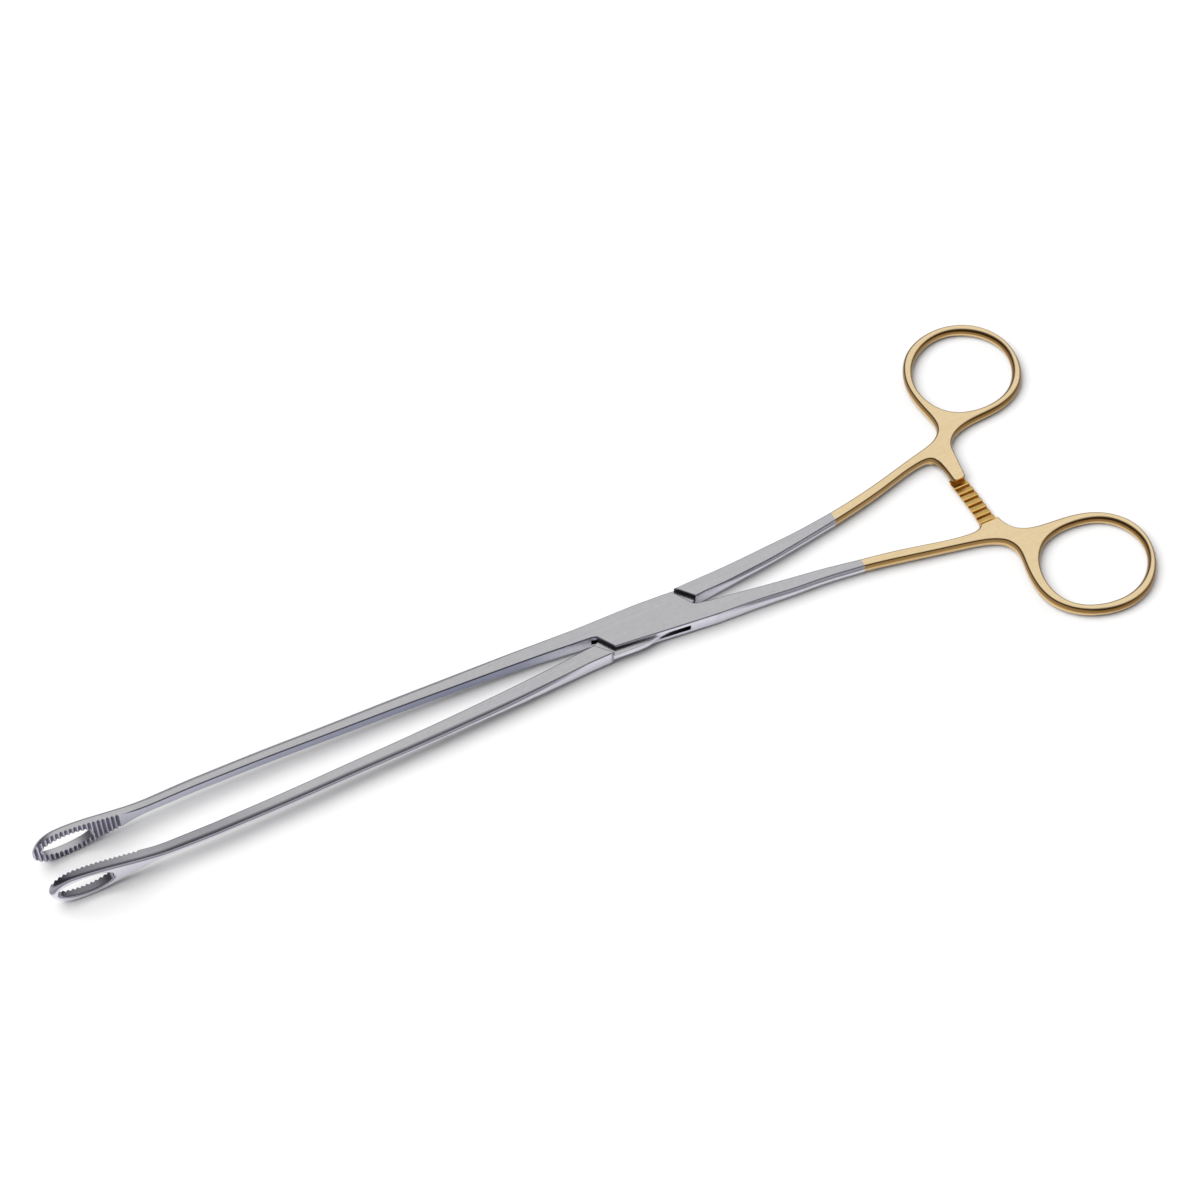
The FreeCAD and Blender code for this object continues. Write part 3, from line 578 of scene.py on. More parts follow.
# painted shade on the near jaw's rounded upper edges, strongest at the tip
NEAR_JAW = metal("jaw_steel", patch=([(-0.132, 1.0), (-0.116, 0.38), (-0.0995, 0.38)], (0.70, 0.90), (0.30, 0.29, 0.33)), **STEEL_LOOK)
# painted shade on the near shank's rounded upper edges, fading out from the jaw end by x = -80 mm
NEAR_SHANK = metal("shank_steel", patch=([(-0.0995, 0.38), (-0.090, 0.15), (-0.080, 0.0)], (0.70, 0.90), (0.30, 0.29, 0.33)), **STEEL_LOOK)
# serration flanks: a dark colour painted as shade in the grooves
GROOVE = metal("painted_shade_grooves", (0.24, 0.23, 0.26), (0.36, 0.35, 0.39), 0.24, 0.34, grain=(900, 900, 900),
               painted_side_shade=(0.8, 0.8, 0.9))
# a near-black painted shade for the slot, gap and shoulder faces at the box joint
SHADED = metal("dark_slot", (0.03, 0.03, 0.034), (0.055, 0.053, 0.058), 0.35, 0.50, grain=(400, 900, 900),
               painted_side_shade=(0.8, 0.8, 0.85))
# gilt: the side, edge and under tints give painted shade on the sides and edges and painted reflection below
GILT = metal("satin_gilt", (0.77, 0.59, 0.34), (0.84, 0.67, 0.41), 0.07, 0.13, grain=(120, 2600, 2600), grain_bump=0.015,
             painted_side_shade=(0.40, 0.315, 0.20), painted_edge_shade=(0.23, 0.155, 0.075), painted_under_reflection=(0.95, 0.80, 0.58))
# ratchet gilt, a deeper orange; its side and edge tints are painted shade
GILT_RATCHET = metal("ratchet_gilt", (0.72, 0.45, 0.13), (0.86, 0.58, 0.20), 0.18, 0.30, grain=(900, 900, 900),
                     painted_side_shade=(0.75, 0.60, 0.40), painted_edge_shade=(0.8, 0.7, 0.5))

body_of_box, body_of_tongue = "box_arm", "tongue_arm"


def place_piece(ob, body, slot, *nodes):
    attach(ob, body)
    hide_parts(*nodes)
    return ob


# ------------------------------------------------------------------ shank edges
EDGE_FLAT = 0.36     # small rounding of a plain top edge
STEP = 1.2


def shank_edge(rows, which, sign, x0, x1):
    """Mid-plane edge of a shank from x0 to x1: points x, y, bulge, rounding."""
    cy, cb = (1, 3) if which == "inner" else (2, 4)
    n = max(2, int(abs(x1 - x0) / STEP))
    out = []
    for x in np.linspace(x0, x1, n + 1):
        y, bb, h = table(rows, x, cy), max(table(rows, x, cb), 0.0), table(rows, x, 5)
        y = y - bb if which == "inner" else y + bb
        r = EDGE_FLAT if bb < 0.1 else min(0.30 + 0.40 * bb, 0.74) if x < 0 else 0.30
        out.append((x, sign * y, bb, r))
    return out


def half_of(rows, x):
    return 1.95 if abs(x) <= 14.75 else float(table(rows, x, 5))


def box_arm_half(x):
    return half_of(FRONT if x < 0 else REAR_BOX, x)


def tongue_arm_half(x):
    return half_of(FRONT if x < 0 else REAR_TONGUE, x)


def top_normal_for(b, half, rows_slope=0.25):
    def f(i):
        x = b.v[i][0]
        s = (half(x + rows_slope) - half(x - rows_slope)) / (2 * rows_slope)
        return np.array([-s, 0, 1.0])
    return f


def bottom_normal_for(b, half):
    top = top_normal_for(b, half)
    return lambda i: top(i) * np.array([1, 1, -1])


def plain_slab(name, material, pts, cut_at, half, holes=(), mirror=False, levels=(-0.8, -0.4, 0.0, 0.4, 0.8),
               dark=None, lift=None):
    """dark: two plan points; the wall between them takes the second material, a painted shade.
    lift(x): how far the underside is raised."""
    b = Builder()
    loops = [np.array([[p[0], p[1]] for p in pts])] + [np.array([[p[0], p[1]] for p in h]) for h in holes]
    attr = [[(p[2], p[3]) for p in pts]] + [[(p[2], p[3]) for p in h] for h in holes]
    cuts = [set(cut_at)] + [set() for _ in holes]
    grid, gn = slab(b, loops, cuts, ZM, lambda l, i: half(loops[l][i][0]), lambda l, i: attr[l][i][0],
                    lambda l, i: attr[l][i][1], levels)
    if lift:
        for rows in grid:
            for ids in rows:
                zb, zt = b.v[ids[0]][2], b.v[ids[-1]][2]
                for k in ids:
                    x, y, z = b.v[k]
                    b.v[k] = (x, y, z + lift(x) * (zt - z) / (zt - zb))
    # walls along the dark line take material 1, painted shade
    shade = set()
    if dark:
        a, c = (np.array(q) for q in dark)
        u = (c - a) / np.linalg.norm(c - a)
        for i in range(len(loops[0])):
            ends = [loops[0][i] - a, loops[0][(i + 1) % len(loops[0])] - a]
            if all(abs(q[0] * u[1] - q[1] * u[0]) < 0.03 for q in ends):
                shade.add(i)
    close_slab(b, loops, cuts, grid, gn, top_normal_for(b, half), bottom_normal_for(b, half),
               lambda i: (b.v[i][0], b.v[i][1]), use_of=lambda l, i, j: 1 if l == 0 and i in shade and j < 12 else 0)
    if mirror:
        b.flipped()
    return b.build(name, material)


# ------------------------------------------------------------------ box arm, steel
A1, A0 = (-11.89, 0.925), (-9.87, 4.457)
B0, B1 = (8.6, -4.868), (11.72, -0.869)


def flat_run(pts, r=EDGE_FLAT, step=1.2):
    return [(float(p[0]), float(p[1]), 0.0, r) for p in dense(pts, step)]


def add_run(out, run):
    for p in run:
        if not out or math.hypot(out[-1][0] - p[0], out[-1][1] - p[1]) > 1e-4:
            out.append(p)


def rounded_chain(pts, radii):
    out = [np.array(pts[0], float)]
    for i in range(1, len(pts) - 1):
        out += corner(pts[i - 1], pts[i], pts[i + 1], radii[i]) if radii[i] else [np.array(pts[i], float)]
    out.append(np.array(pts[-1], float))
    return out


def box_arm_steel():
    out = []
    add_run(out, shank_edge(FRONT, "inner", 1, -99.5, -14.75))
    lead = rounded_chain([(-14.75, 1.12), A1, (-10.8, 0.62), (-8.35, -3.15), (-4.2, -3.55)],
                         [0, 0, 0.5, 0.35, 0])
    add_run(out, flat_run(lead))
    add_run(out, flat_run([(-4.2, -3.55), (1.4, -4.15), B0, (14.75, -5.46)]))
    add_run(out, shank_edge(REAR_BOX, "outer", -1, 14.75, GILT_X))
    cut1 = len(out) - 1
    add_run(out, shank_edge(REAR_BOX, "inner", -1, GILT_X, 14.75))
    tail = rounded_chain([(14.75, -1.48), B1, (11.15, -0.50), (8.35, 3.98), (4.0, 4.22)],
                         [0, 0, 0.5, 0.35, 0])
    add_run(out, flat_run(tail))
    add_run(out, flat_run([(4.0, 4.22), (0.0, 4.42), (-7.0, 4.45), A0, (-14.75, 4.50)]))
    add_run(out, shank_edge(FRONT, "outer", 1, -14.75, -99.5))
    cut2 = len(out) - 1
    loop = np.array([[p[0], p[1]] for p in out])
    find = lambda q: int(np.argmin(np.hypot(loop[:, 0] - q[0], loop[:, 1] - q[1])))
    a1, b0, b1, a0 = find(A1), find(B0), find(B1), find(A0)
    b = Builder()
    half = box_arm_half
    cuts = [{cut1, cut2}]
    grid, gn = slab(b, [loop], cuts, ZM, lambda l, i: half(loop[i][0]), lambda l, i: out[i][2],
                    lambda l, i: out[i][3])
    mouth = set(range(a1, b0)) | set(range(b1, a0))
    # the front shank's inner wall takes the third material, a painted shade
    inner = set(range(0, find((-14.75, 1.12))))
    # gap: wall bands under the plate edges take the second material, a painted shadow; rows 5 and 11 are drawn towards
    # the mid-plane so the band tapers to a sliver
    gap = set()
    for p, q in (((-8.35, -3.15), (0.2, -4.02)), ((8.35, 3.98), (0.0, 4.42))):
        i0, i1 = find(p), find(q)
        gap |= set(range(i0, i1))
        for i in range(i0, i1 + 1):
            w = min(max((i - i0 - 1) / (i1 - i0 - 1), 0.0), 1.0)
            for j, s in ((11, 1), (5, -1)):
                x, y, z = b.v[grid[0][i][j]]
                b.v[grid[0][i][j]] = (x, y, ZM + s * ((1 - w) * abs(z - ZM) + w * 0.83))
    # ends: the shoulder end walls take the second material, painted shade
    ends = set(range(find((-10.8, 0.62)), find((-8.35, -3.15)))) | set(range(find((11.15, -0.50)), find((8.35, 3.98))))
    close_slab(b, [loop], cuts, grid, gn, top_normal_for(b, half), bottom_normal_for(b, half),
               lambda i: (b.v[i][0], b.v[i][1]), skip=lambda l, i, j: i in mouth and 6 <= j <= 9,
               use_of=lambda l, i, j: 2 if i in inner else 1 if (i in ends and 4 <= j <= 11) or (i in gap and j in (5, 10)) else 0)
    # the slot's floor and ceiling take the second material, painted shade
    b.use = 1
    rows = grid[0]
    ring = list(range(a1, b0 + 1)) + list(range(b1, a0 + 1))
    cap(b, [[rows[i][10] for i in ring]], lambda i: (b.v[i][0], b.v[i][1]), -1, lambda i: np.array([0, 0, -1.0]))
    cap(b, [[rows[i][6] for i in ring]], lambda i: (b.v[i][0], b.v[i][1]), 1, lambda i: np.array([0, 0, 1.0]))
    b.use = 0
    for p, q in ((a1, a0), (b1, b0)):
        for j in range(6, 10):
            b.face([rows[p][j], rows[q][j], rows[q][j + 1], rows[p][j + 1]])
    return b.build("box_arm_steel", [STEEL, SHADED, INNER])


place_piece(box_arm_steel(), "box_arm", "satin_steel", "box_arm_front_shank", "box_lock_housing",
            "box_arm_rear_shank")


# ------------------------------------------------------------------ tongue arm, steel
def tongue_front():
    out = []
    add_run(out, shank_edge(FRONT, "outer", -1, -99.5, -14.75))
    add_run(out, flat_run(rounded_chain([(-14.75, -4.52), (-9.0, -4.40), (-12.1, -0.90), (-14.75, -1.12)],
                                        [0, 0, 0.35, 0])))
    add_run(out, shank_edge(FRONT, "inner", -1, -14.75, -99.5))
    # the near shank's material paints shade on its rounded upper edges near the jaw
    return plain_slab("tongue_arm_front_steel", NEAR_SHANK, out, [len(out) - 1], tongue_arm_half)


def tongue_rear():
    out = []
    add_run(out, flat_run(rounded_chain([(9.2, 4.40), (12.45, 0.69), (14.75, 0.88)], [0, 0.35, 0])))
    add_run(out, shank_edge(REAR_TONGUE, "inner", 1, 14.75, GILT_X))
    cut = len(out) - 1
    add_run(out, shank_edge(REAR_TONGUE, "outer", 1, GILT_X, 14.75))
    add_run(out, flat_run([(14.75, 4.56), (9.2, 4.40)])[:-1])
    # the shoulder end wall between the two dark points takes the second material, painted shade
    return plain_slab("tongue_arm_rear_steel", [STEEL, SHADED], out, [cut], tongue_arm_half,
                      dark=((9.2, 4.40), (12.45, 0.69)),
                      lift=lambda x: 0.55 * (x - 14.75) / 4 if 14.75 < x < 18.75 else
                      0.0 if x <= 14.75 else 0.55 * min(1.0, max(0.0, (46.0 - x) / 14)))


WEB = [(-13.0, -1.0), (-9.8, 0.6), (-8.4, 3.65), (-2.0, 4.15), (1.6, 4.72), (5.5, 4.75), (9.3, 4.5), (13.0, 1.0),
       (9.8, -0.6), (8.4, -3.85), (2.0, -4.02), (-1.2, -4.75), (-3.8, -4.80), (-9.2, -4.5)]


def tongue_web():
    ring = [np.array(p) for p in reversed(WEB)]
    pts = []
    for i in range(len(ring)):
        pts += corner(ring[i - 1], ring[i], ring[(i + 1) % len(ring)], 1.2)
    pts = [(float(p[0]), float(p[1]), 0.0, 0.08) for p in dense(pts + [pts[0]], 1.0)[:-1]]
    return plain_slab("tongue_web", STEEL, pts, [], lambda x: 0.75, levels=(-0.4, 0.0, 0.4))


place_piece(tongue_front(), "tongue_arm", "satin_steel", "tongue_arm_front_shank", "tongue_lock_web")
place_piece(tongue_rear(), "tongue_arm", "satin_steel", "tongue_arm_rear_shank")
place_piece(tongue_web(), "tongue_arm", "satin_steel", "tongue_lock_web")


# ------------------------------------------------------------------ gilt handles
JOINTS = {}


def gilt(name, outer, inner, hole, end_y, mirror):
    o = relax(smooth_path(outer, 0.5), 3)
    n = relax(smooth_path(inner, 0.5), 2)
    h = relax(smooth_path(hole, 0.5, True), 4, True)
    # inner edge from the steel to the root of the ratchet bar
    k0 = int(np.argmax(n[:, 0] > GILT_X))
    t = (GILT_X - n[k0 - 1][0]) / (n[k0][0] - n[k0 - 1][0])
    first = n[k0 - 1] + t * (n[k0] - n[k0 - 1])
    last = len(n) - 1
    while n[last][1] < end_y:
        last -= 1
    t = (end_y - n[last][1]) / (n[last + 1][1] - n[last][1])
    stop = n[last] + t * (n[last + 1] - n[last])
    lower = [first] + [p for p in n[k0:last + 1] if np.linalg.norm(p - first) > 0.1] + [stop]
    # outer edge back from the bar, round the ring, to the steel
    r = o[::-1]
    s = int(np.argmax(r[:, 1] > end_y))
    t = (end_y - r[s - 1][1]) / (r[s][1] - r[s - 1][1])
    begin = r[s - 1] + t * (r[s] - r[s - 1])
    e = len(r) - 1
    while r[e][0] < GILT_X:
        e -= 1
    t = (GILT_X - r[e][0]) / (r[e + 1][0] - r[e][0])
    fin = r[e] + t * (r[e + 1] - r[e])
    upper = [begin] + [p for p in r[s:e + 1] if np.linalg.norm(p - begin) > 0.1 and np.linalg.norm(p - fin) > 0.1] + [fin]

    JOINTS[mirror] = (float(stop[0]), float(begin[0]))

    def bulge(p):
        return 0.60 + 0.28 * min(max((p[0] - 80.0) / 8.0, 0.0), 1.0)

    loop = [(p[0], p[1], bulge(p), 0.30) for p in lower] + [(p[0], p[1], bulge(p), 0.30) for p in upper]
    cuts = [len(lower) - 1, len(loop) - 1]
    area = sum(h[i][0] * h[(i + 1) % len(h)][1] - h[(i + 1) % len(h)][0] * h[i][1] for i in range(len(h)))
    if area > 0:
        h = h[::-1]
    ring = [(p[0], p[1], 0.85, 0.30) for p in h]
    return plain_slab(name, GILT, loop, cuts, lambda x: 1.35, [ring], mirror)


place_piece(gilt("tongue_arm_gilt_handle", TONGUE_OUTER, TONGUE_INNER, TONGUE_HOLE, 9.95, False),
            "tongue_arm", "gilt", "tongue_arm_handle", "tongue_arm_finger_ring")
place_piece(gilt("box_arm_gilt_handle", BOX_OUTER, BOX_INNER, BOX_HOLE, 9.8, True),
            "box_arm", "gilt", "box_arm_handle", "box_arm_finger_ring")

# ------------------------------------------------------------------ jaws
TIP, WIDE, ROOT = -134.7, -129.4, -99.5
BIG, NECK, NECK_X = 4.7, 1.32, -109.0
WIN_X, WIN_A, WIN_B = -127.35, 5.7, 2.7
PITCH, DEPTH, SERR_END = 0.97, 0.35, -115.8
BACK = [(-99.5, 7.12), (-104.0, 7.02), (-109.0, 6.86), (-114.0, 6.70), (-119.0, 6.58),
        (-124.0, 6.44), (-128.0, 6.27), (-131.5, 6.02), (-134.0, 5.72), (-135.5, 5.50)]


def leaf_half(x):
    if x < WIDE:
        return BIG * math.sqrt(max(0.0, 1 - ((WIDE - x) / (WIDE - TIP)) ** 2))
    t = min(1.0, (x - WIDE) / (NECK_X - WIDE))
    return NECK + (BIG - NECK) * (1 - (3 * t * t - 2 * t ** 3))


def ease(x, a, b):
    t = min(max((x - a) / (b - a), 0.0), 1.0)
    return t * t * (3 - 2 * t)


def fall(d, width, depth, r):
    """How far the back drops at a distance d inside an edge, and its slope there."""
    if d >= width or width < 1e-6:
        return 0.0, 0.0
    return edge_profile(width - max(d, 0.0), width, depth, r)


def back_shape(x):
    w = ease(x, -104.0, -117.0)
    return 1.32 - 0.12 * w, 1.10 - 0.22 * w, 0.74 - 0.24 * w


def jaw(name, shift, mirror, steel):
    """A leaf-shaped loop on edge: rounded back, side walls and a serrated face."""
    b = Builder()
    seen = {}

    def vert(x, y, z):
        key = (round(x, 5), round(y, 5), round(z, 5))
        if key not in seen:
            seen[key] = b.add((x, y, ZM + z))
        return seen[key]

    crests = []
    x = TIP + shift
    while x + PITCH / 2 < SERR_END:
        crests += [(x - 0.09, 0.0), (x + 0.09, 0.0), (x + PITCH / 2, DEPTH)]
        x += PITCH
    crests += [(x - 0.09, 0.0)]
    crests = [c for c in crests if c[0] > TIP + 0.02]
    cx, cy = [c[0] for c in crests], [c[1] for c in crests]
    fx, fy = [TIP - 0.8] + cx, [DEPTH] + cy

    def face_at(x):
        end = cx[-1]
        low = 4.60 - 0.20 * (min(x, end) + 99.5) / (-35.2)
        if x > end:
            return low + (4.72 - low) * (x - end) / (ROOT - end)
        return low + float(np.interp(x, fx, fy))

    def back_at(x):
        return float(table([(p[0], p[1]) for p in BACK], x, 1))

    # stations from the root along the neck, then round the window to the tip
    w0, w1 = WIN_X + WIN_A, WIN_X - WIN_A
    xs = sorted(set([round(v, 6) for v in cx if v > w0 + 0.01] + [round(v, 6) for v in np.linspace(ROOT, cx[-1] + 0.4, 22)]
                    + [w0 + v for v in (0.06, 0.15, 0.28, 0.45, 0.7)]), reverse=True)
    keep = []
    for v in xs:
        if not keep or keep[-1] - v > 0.03 or v in [round(c, 6) for c in cx]:
            keep.append(v)
    stations = [((v, leaf_half(v)), (v, 0.0), True) for v in keep]
    phis = set(np.linspace(0, math.pi, 49).tolist())
    for v in cx:
        if TIP + 1e-6 < v < w0:
            phis.add(math.acos(1 - 2 * (w0 - v) / (w0 - TIP)))
        if w1 + 1e-6 < v < w0:
            phis.add(math.acos(max(-1.0, min(1.0, (v - WIN_X) / WIN_A))))
    for ph in sorted(phis):
        xo = w0 - (w0 - TIP) * (1 - math.cos(ph)) / 2
        xi, zi = WIN_X + WIN_A * math.cos(ph), WIN_B * math.sin(ph)
        for v in cx:
            if abs(v - xo) < 1e-7:
                xo = v
        stations.append(((xo, leaf_half(xo) if ph < math.pi else 0.0), (xi, zi if ph < math.pi else 0.0), False))
    n = len(stations)
    O = np.array([s[0] for s in stations], float)
    I = np.array([s[1] for s in stations], float)

    def contour_normals(pts, end_dirs):
        out = []
        for i in range(len(pts)):
            a, c = pts[max(i - 1, 0)], pts[min(i + 1, len(pts) - 1)]
            d = c - a
            d = d / max(np.linalg.norm(d), 1e-9)
            m = np.array([d[1], -d[0]])
            out.append(m)
        for i, m in end_dirs:
            out[i] = np.array(m, float)
        return out

    # walking from the root towards -x with the leaf below: outward is up, so turn the sign
    mo = [-m for m in contour_normals(O, [])]
    mo = [m if m[1] > 0 or abs(m[1]) < 1e-9 else -m for m in mo]
    mo[-1] = np.array([-1.0, 0.0])
    mo[0] = np.array([0.0, 1.0])

    def window_normal(p):
        g = np.array([(p[0] - WIN_X) / WIN_A ** 2, p[1] / WIN_B ** 2])
        return -g / max(np.linalg.norm(g), 1e-9)

    def window_distance(p):
        X, Z = p[0] - WIN_X, p[1]
        f = math.sqrt((X / WIN_A) ** 2 + (Z / WIN_B) ** 2)
        g = math.sqrt((X / WIN_A ** 2) ** 2 + (Z / WIN_B ** 2) ** 2) / max(f, 1e-9)
        return (f - 1) / max(g, 1e-9)

    WI, DI, RI = 0.62, 0.42, 0.24

    def surface(p, d_out, m_out):
        w, dep, r = back_shape(p[0])
        a, sa = fall(d_out, w, dep, r)
        d_in = window_distance(p)
        c, sc = fall(d_in, WI, DI, RI) if d_in < WI else (0.0, 0.0)
        slope = (back_at(p[0] + 0.2) - back_at(p[0] - 0.2)) / 0.4
        g = sa * m_out + sc * window_normal(p)
        nn = np.array([g[0] - slope, 1.0, g[1]])
        return back_at(p[0]) - a - c, nn / np.linalg.norm(nn)

    def level_list(L, x, slit):
        w, dep, r = back_shape(x)
        w = min(w, L)
        wi, ri = (0.0, 0.0) if slit else (min(WI, L - w) if L > w else 0.0, RI)
        ri = min(ri, wi)
        q = max(w, L - wi)
        d = [r * (1 - math.cos(t)) for t in np.linspace(0, math.pi / 2, 6)]
        d += list(np.linspace(r, w, 4)[1:]) + list(np.linspace(w, q, 4)[1:])
        d += list(np.linspace(q, L - ri, 3)[1:])
        d += [L - ri + ri * math.sin(t) for t in np.linspace(0, math.pi / 2, 5)[1:]]
        return [min(v, L) for v in d]

    rows = {1: [], -1: []}
    norms = {1: [], -1: []}
    for i in range(n):
        band = I[i] - O[i]
        L = float(np.linalg.norm(band))
        u = band / max(L, 1e-9)
        lean = abs(float(u @ mo[i]))
        ids = {1: [], -1: []}
        nn = {1: [], -1: []}
        for d in level_list(L, O[i][0], stations[i][2]):
            p = O[i] + u * d
            y, nv = surface(p, d * lean, mo[i])
            for s in (1, -1):
                ids[s].append(vert(p[0], y, s * p[1]))
                nn[s].append(nv * np.array([1, 1, s]))
        for s in (1, -1):
            rows[s].append(ids[s])
            norms[s].append(nn[s])
    m = len(rows[1][0])
    b.use = 0
    for s in (1, -1):
        for i in range(n - 1):
            for j in range(m - 1):
                q = [rows[s][i][j], rows[s][i + 1][j], rows[s][i + 1][j + 1], rows[s][i][j + 1]]
                nn = [norms[s][i][j], norms[s][i + 1][j], norms[s][i + 1][j + 1], norms[s][i][j + 1]]
                if len(set(q)) > 2:
                    b.facing(q, nn)
    # side walls down to the serrated face
    turn = {s: [] for s in (1, -1)}
    for i in range(n):
        re = EDGE_FLAT * ease(O[i][0], cx[-1] + 0.2, cx[-1] + 4.0) if stations[i][2] else 0.0
        for s in (1, -1):
            turn[s].append([vert(O[i][0], face_at(O[i][0]) + re * (1 - math.sin(t)), s * (O[i][1] - re * (1 - math.cos(t))))
                            for t in np.linspace(0, math.pi / 2, 5)])
    out_low = {s: [c[-1] for c in turn[s]] for s in (1, -1)}
    for s in (1, -1):
        for i in range(n - 1):
            for k, (t0, t1) in enumerate(zip(np.linspace(0, math.pi / 2, 5), np.linspace(0, math.pi / 2, 5)[1:])):
                q = [turn[s][i][k], turn[s][i + 1][k], turn[s][i + 1][k + 1], turn[s][i][k + 1]]
                nn = [np.array([0, -math.sin(t), s * math.cos(t)]) for t in (t0, t0, t1, t1)]
                if len(set(q)) > 2:
                    b.facing(q, nn)
    ring_i = [i for i in range(n) if not stations[i][2]]
    in_low = {s: {i: vert(I[i][0], face_at(I[i][0]), s * I[i][1]) for i in ring_i} for s in (1, -1)}
    for s in (1, -1):
        for i in range(n - 1):
            q = [rows[s][i][0], rows[s][i + 1][0], turn[s][i + 1][0], turn[s][i][0]]
            nn = [np.array([mo[k][0], 0, s * mo[k][1]]) for k in (i, i + 1, i + 1, i)]
            if len(set(q)) > 2:
                b.facing(q, nn)
        for i, k in zip(ring_i, ring_i[1:]):
            wn = {t: window_normal(I[t]) for t in (i, k)}
            q = [rows[s][i][-1], rows[s][k][-1], in_low[s][k], in_low[s][i]]
            nn = [np.array([wn[t][0], 0, s * wn[t][1]]) for t in (i, k, k, i)]
            if len(set(q)) > 2:
                b.facing(q, nn)
    # serrated face: every strip between two crease lines is flat
    outer = out_low[1] + out_low[-1][::-1]
    outer = [v for k, v in enumerate(outer) if v != outer[k - 1]]
    window = [in_low[1][i] for i in ring_i] + [in_low[-1][i] for i in ring_i[::-1]]
    window = [v for k, v in enumerate(window) if v != window[k - 1]]
    plan = lambda i: (b.v[i][0], b.v[i][2] - ZM)
    ids = outer + window
    pts = [Vector(plan(i)) for i in ids]
    edges = [(k, (k + 1) % len(outer)) for k in range(len(outer))]
    edges += [(len(outer) + k, len(outer) + (k + 1) % len(window)) for k in range(len(window))]
    for v in cx:
        hit = sorted([(plan(i)[1], k) for k, i in enumerate(ids) if abs(plan(i)[0] - v) < 2e-5])
        if len(hit) == 2:
            edges.append((hit[0][1], hit[1][1]))
        elif len(hit) == 4:
            edges += [(hit[0][1], hit[1][1]), (hit[2][1], hit[3][1])]
    res = delaunay_2d_cdt(pts, edges, [], 0, 1e-7, True)
    loops = [[plan(i) for i in outer], [plan(i) for i in window]]
    for f in res[2]:
        c = sum((res[0][i] for i in f), Vector((0, 0))) / len(f)
        if not inside(loops, c.x, c.y):
            continue
        tri = [ids[res[3][i][0]] for i in f if res[3][i]]
        if len(set(tri)) == 3:
            # groove flanks take the second material, painted shade; crest flats and the face past the serrations keep
            # the first
            flat = abs(face_at(c.x) - (4.60 - 0.20 * (c.x + 99.5) / (-35.2))) < 0.03 or c.x > cx[-1]
            b.use = 0 if flat else 1
            b.facing(tri, None, (0, -1, 0))
    # root end
    b.use = 0
    ring = rows[1][0] + rows[-1][0][::-1] + turn[-1][0] + turn[1][0][::-1]
    ring = [v for k, v in enumerate(ring) if v != ring[k - 1]]
    b.facing(ring, None, (1, 0, 0))
    if mirror:
        b.flipped()
    return b.build(name, [steel, GROOVE])


# the far jaw carries the inner-wall painted shade, the near jaw a painted shade on its rounded upper edges
place_piece(jaw("box_arm_jaw_leaf", 0.30, False, INNER), "box_arm", "satin_steel", "box_arm_jaw")
place_piece(jaw("tongue_arm_jaw_leaf", 0.30 + PITCH / 2, True, NEAR_JAW), "tongue_arm", "satin_steel", "tongue_arm_jaw")


# ------------------------------------------------------------------ ratchet bars
def along(pts, y):
    """Smooth curve through (y, x) pairs."""
    return float(table(sorted(pts), y, 1))


UPPER_LEFT = [(9.95, 74.86), (9.67, 75.10), (9.28, 75.35), (8.71, 75.57), (8.1, 75.72), (7.0, 75.88), (5.5, 76.00),
              (4.0, 76.07), (3.05, 76.08)]
UPPER_RIGHT = [(9.95, 80.30), (9.2, 80.22), (8.0, 80.05), (6.5, 79.85), (5.0, 79.65), (4.0, 79.50), (3.05, 79.35)]
LOWER_LEFT = [(9.8, 75.29), (9.5, 75.58), (9.2, 75.80), (8.8, 76.02), (8.2, 76.22), (7.0, 76.30), (3.0, 76.20),
              (-1.0, 75.95), (-4.2, 75.72)]
LOWER_RIGHT = [(9.8, 80.41), (9.2, 80.32), (8.6, 80.18), (7.0, 80.00), (3.0, 79.85), (-1.0, 79.60), (-4.2, 79.11)]


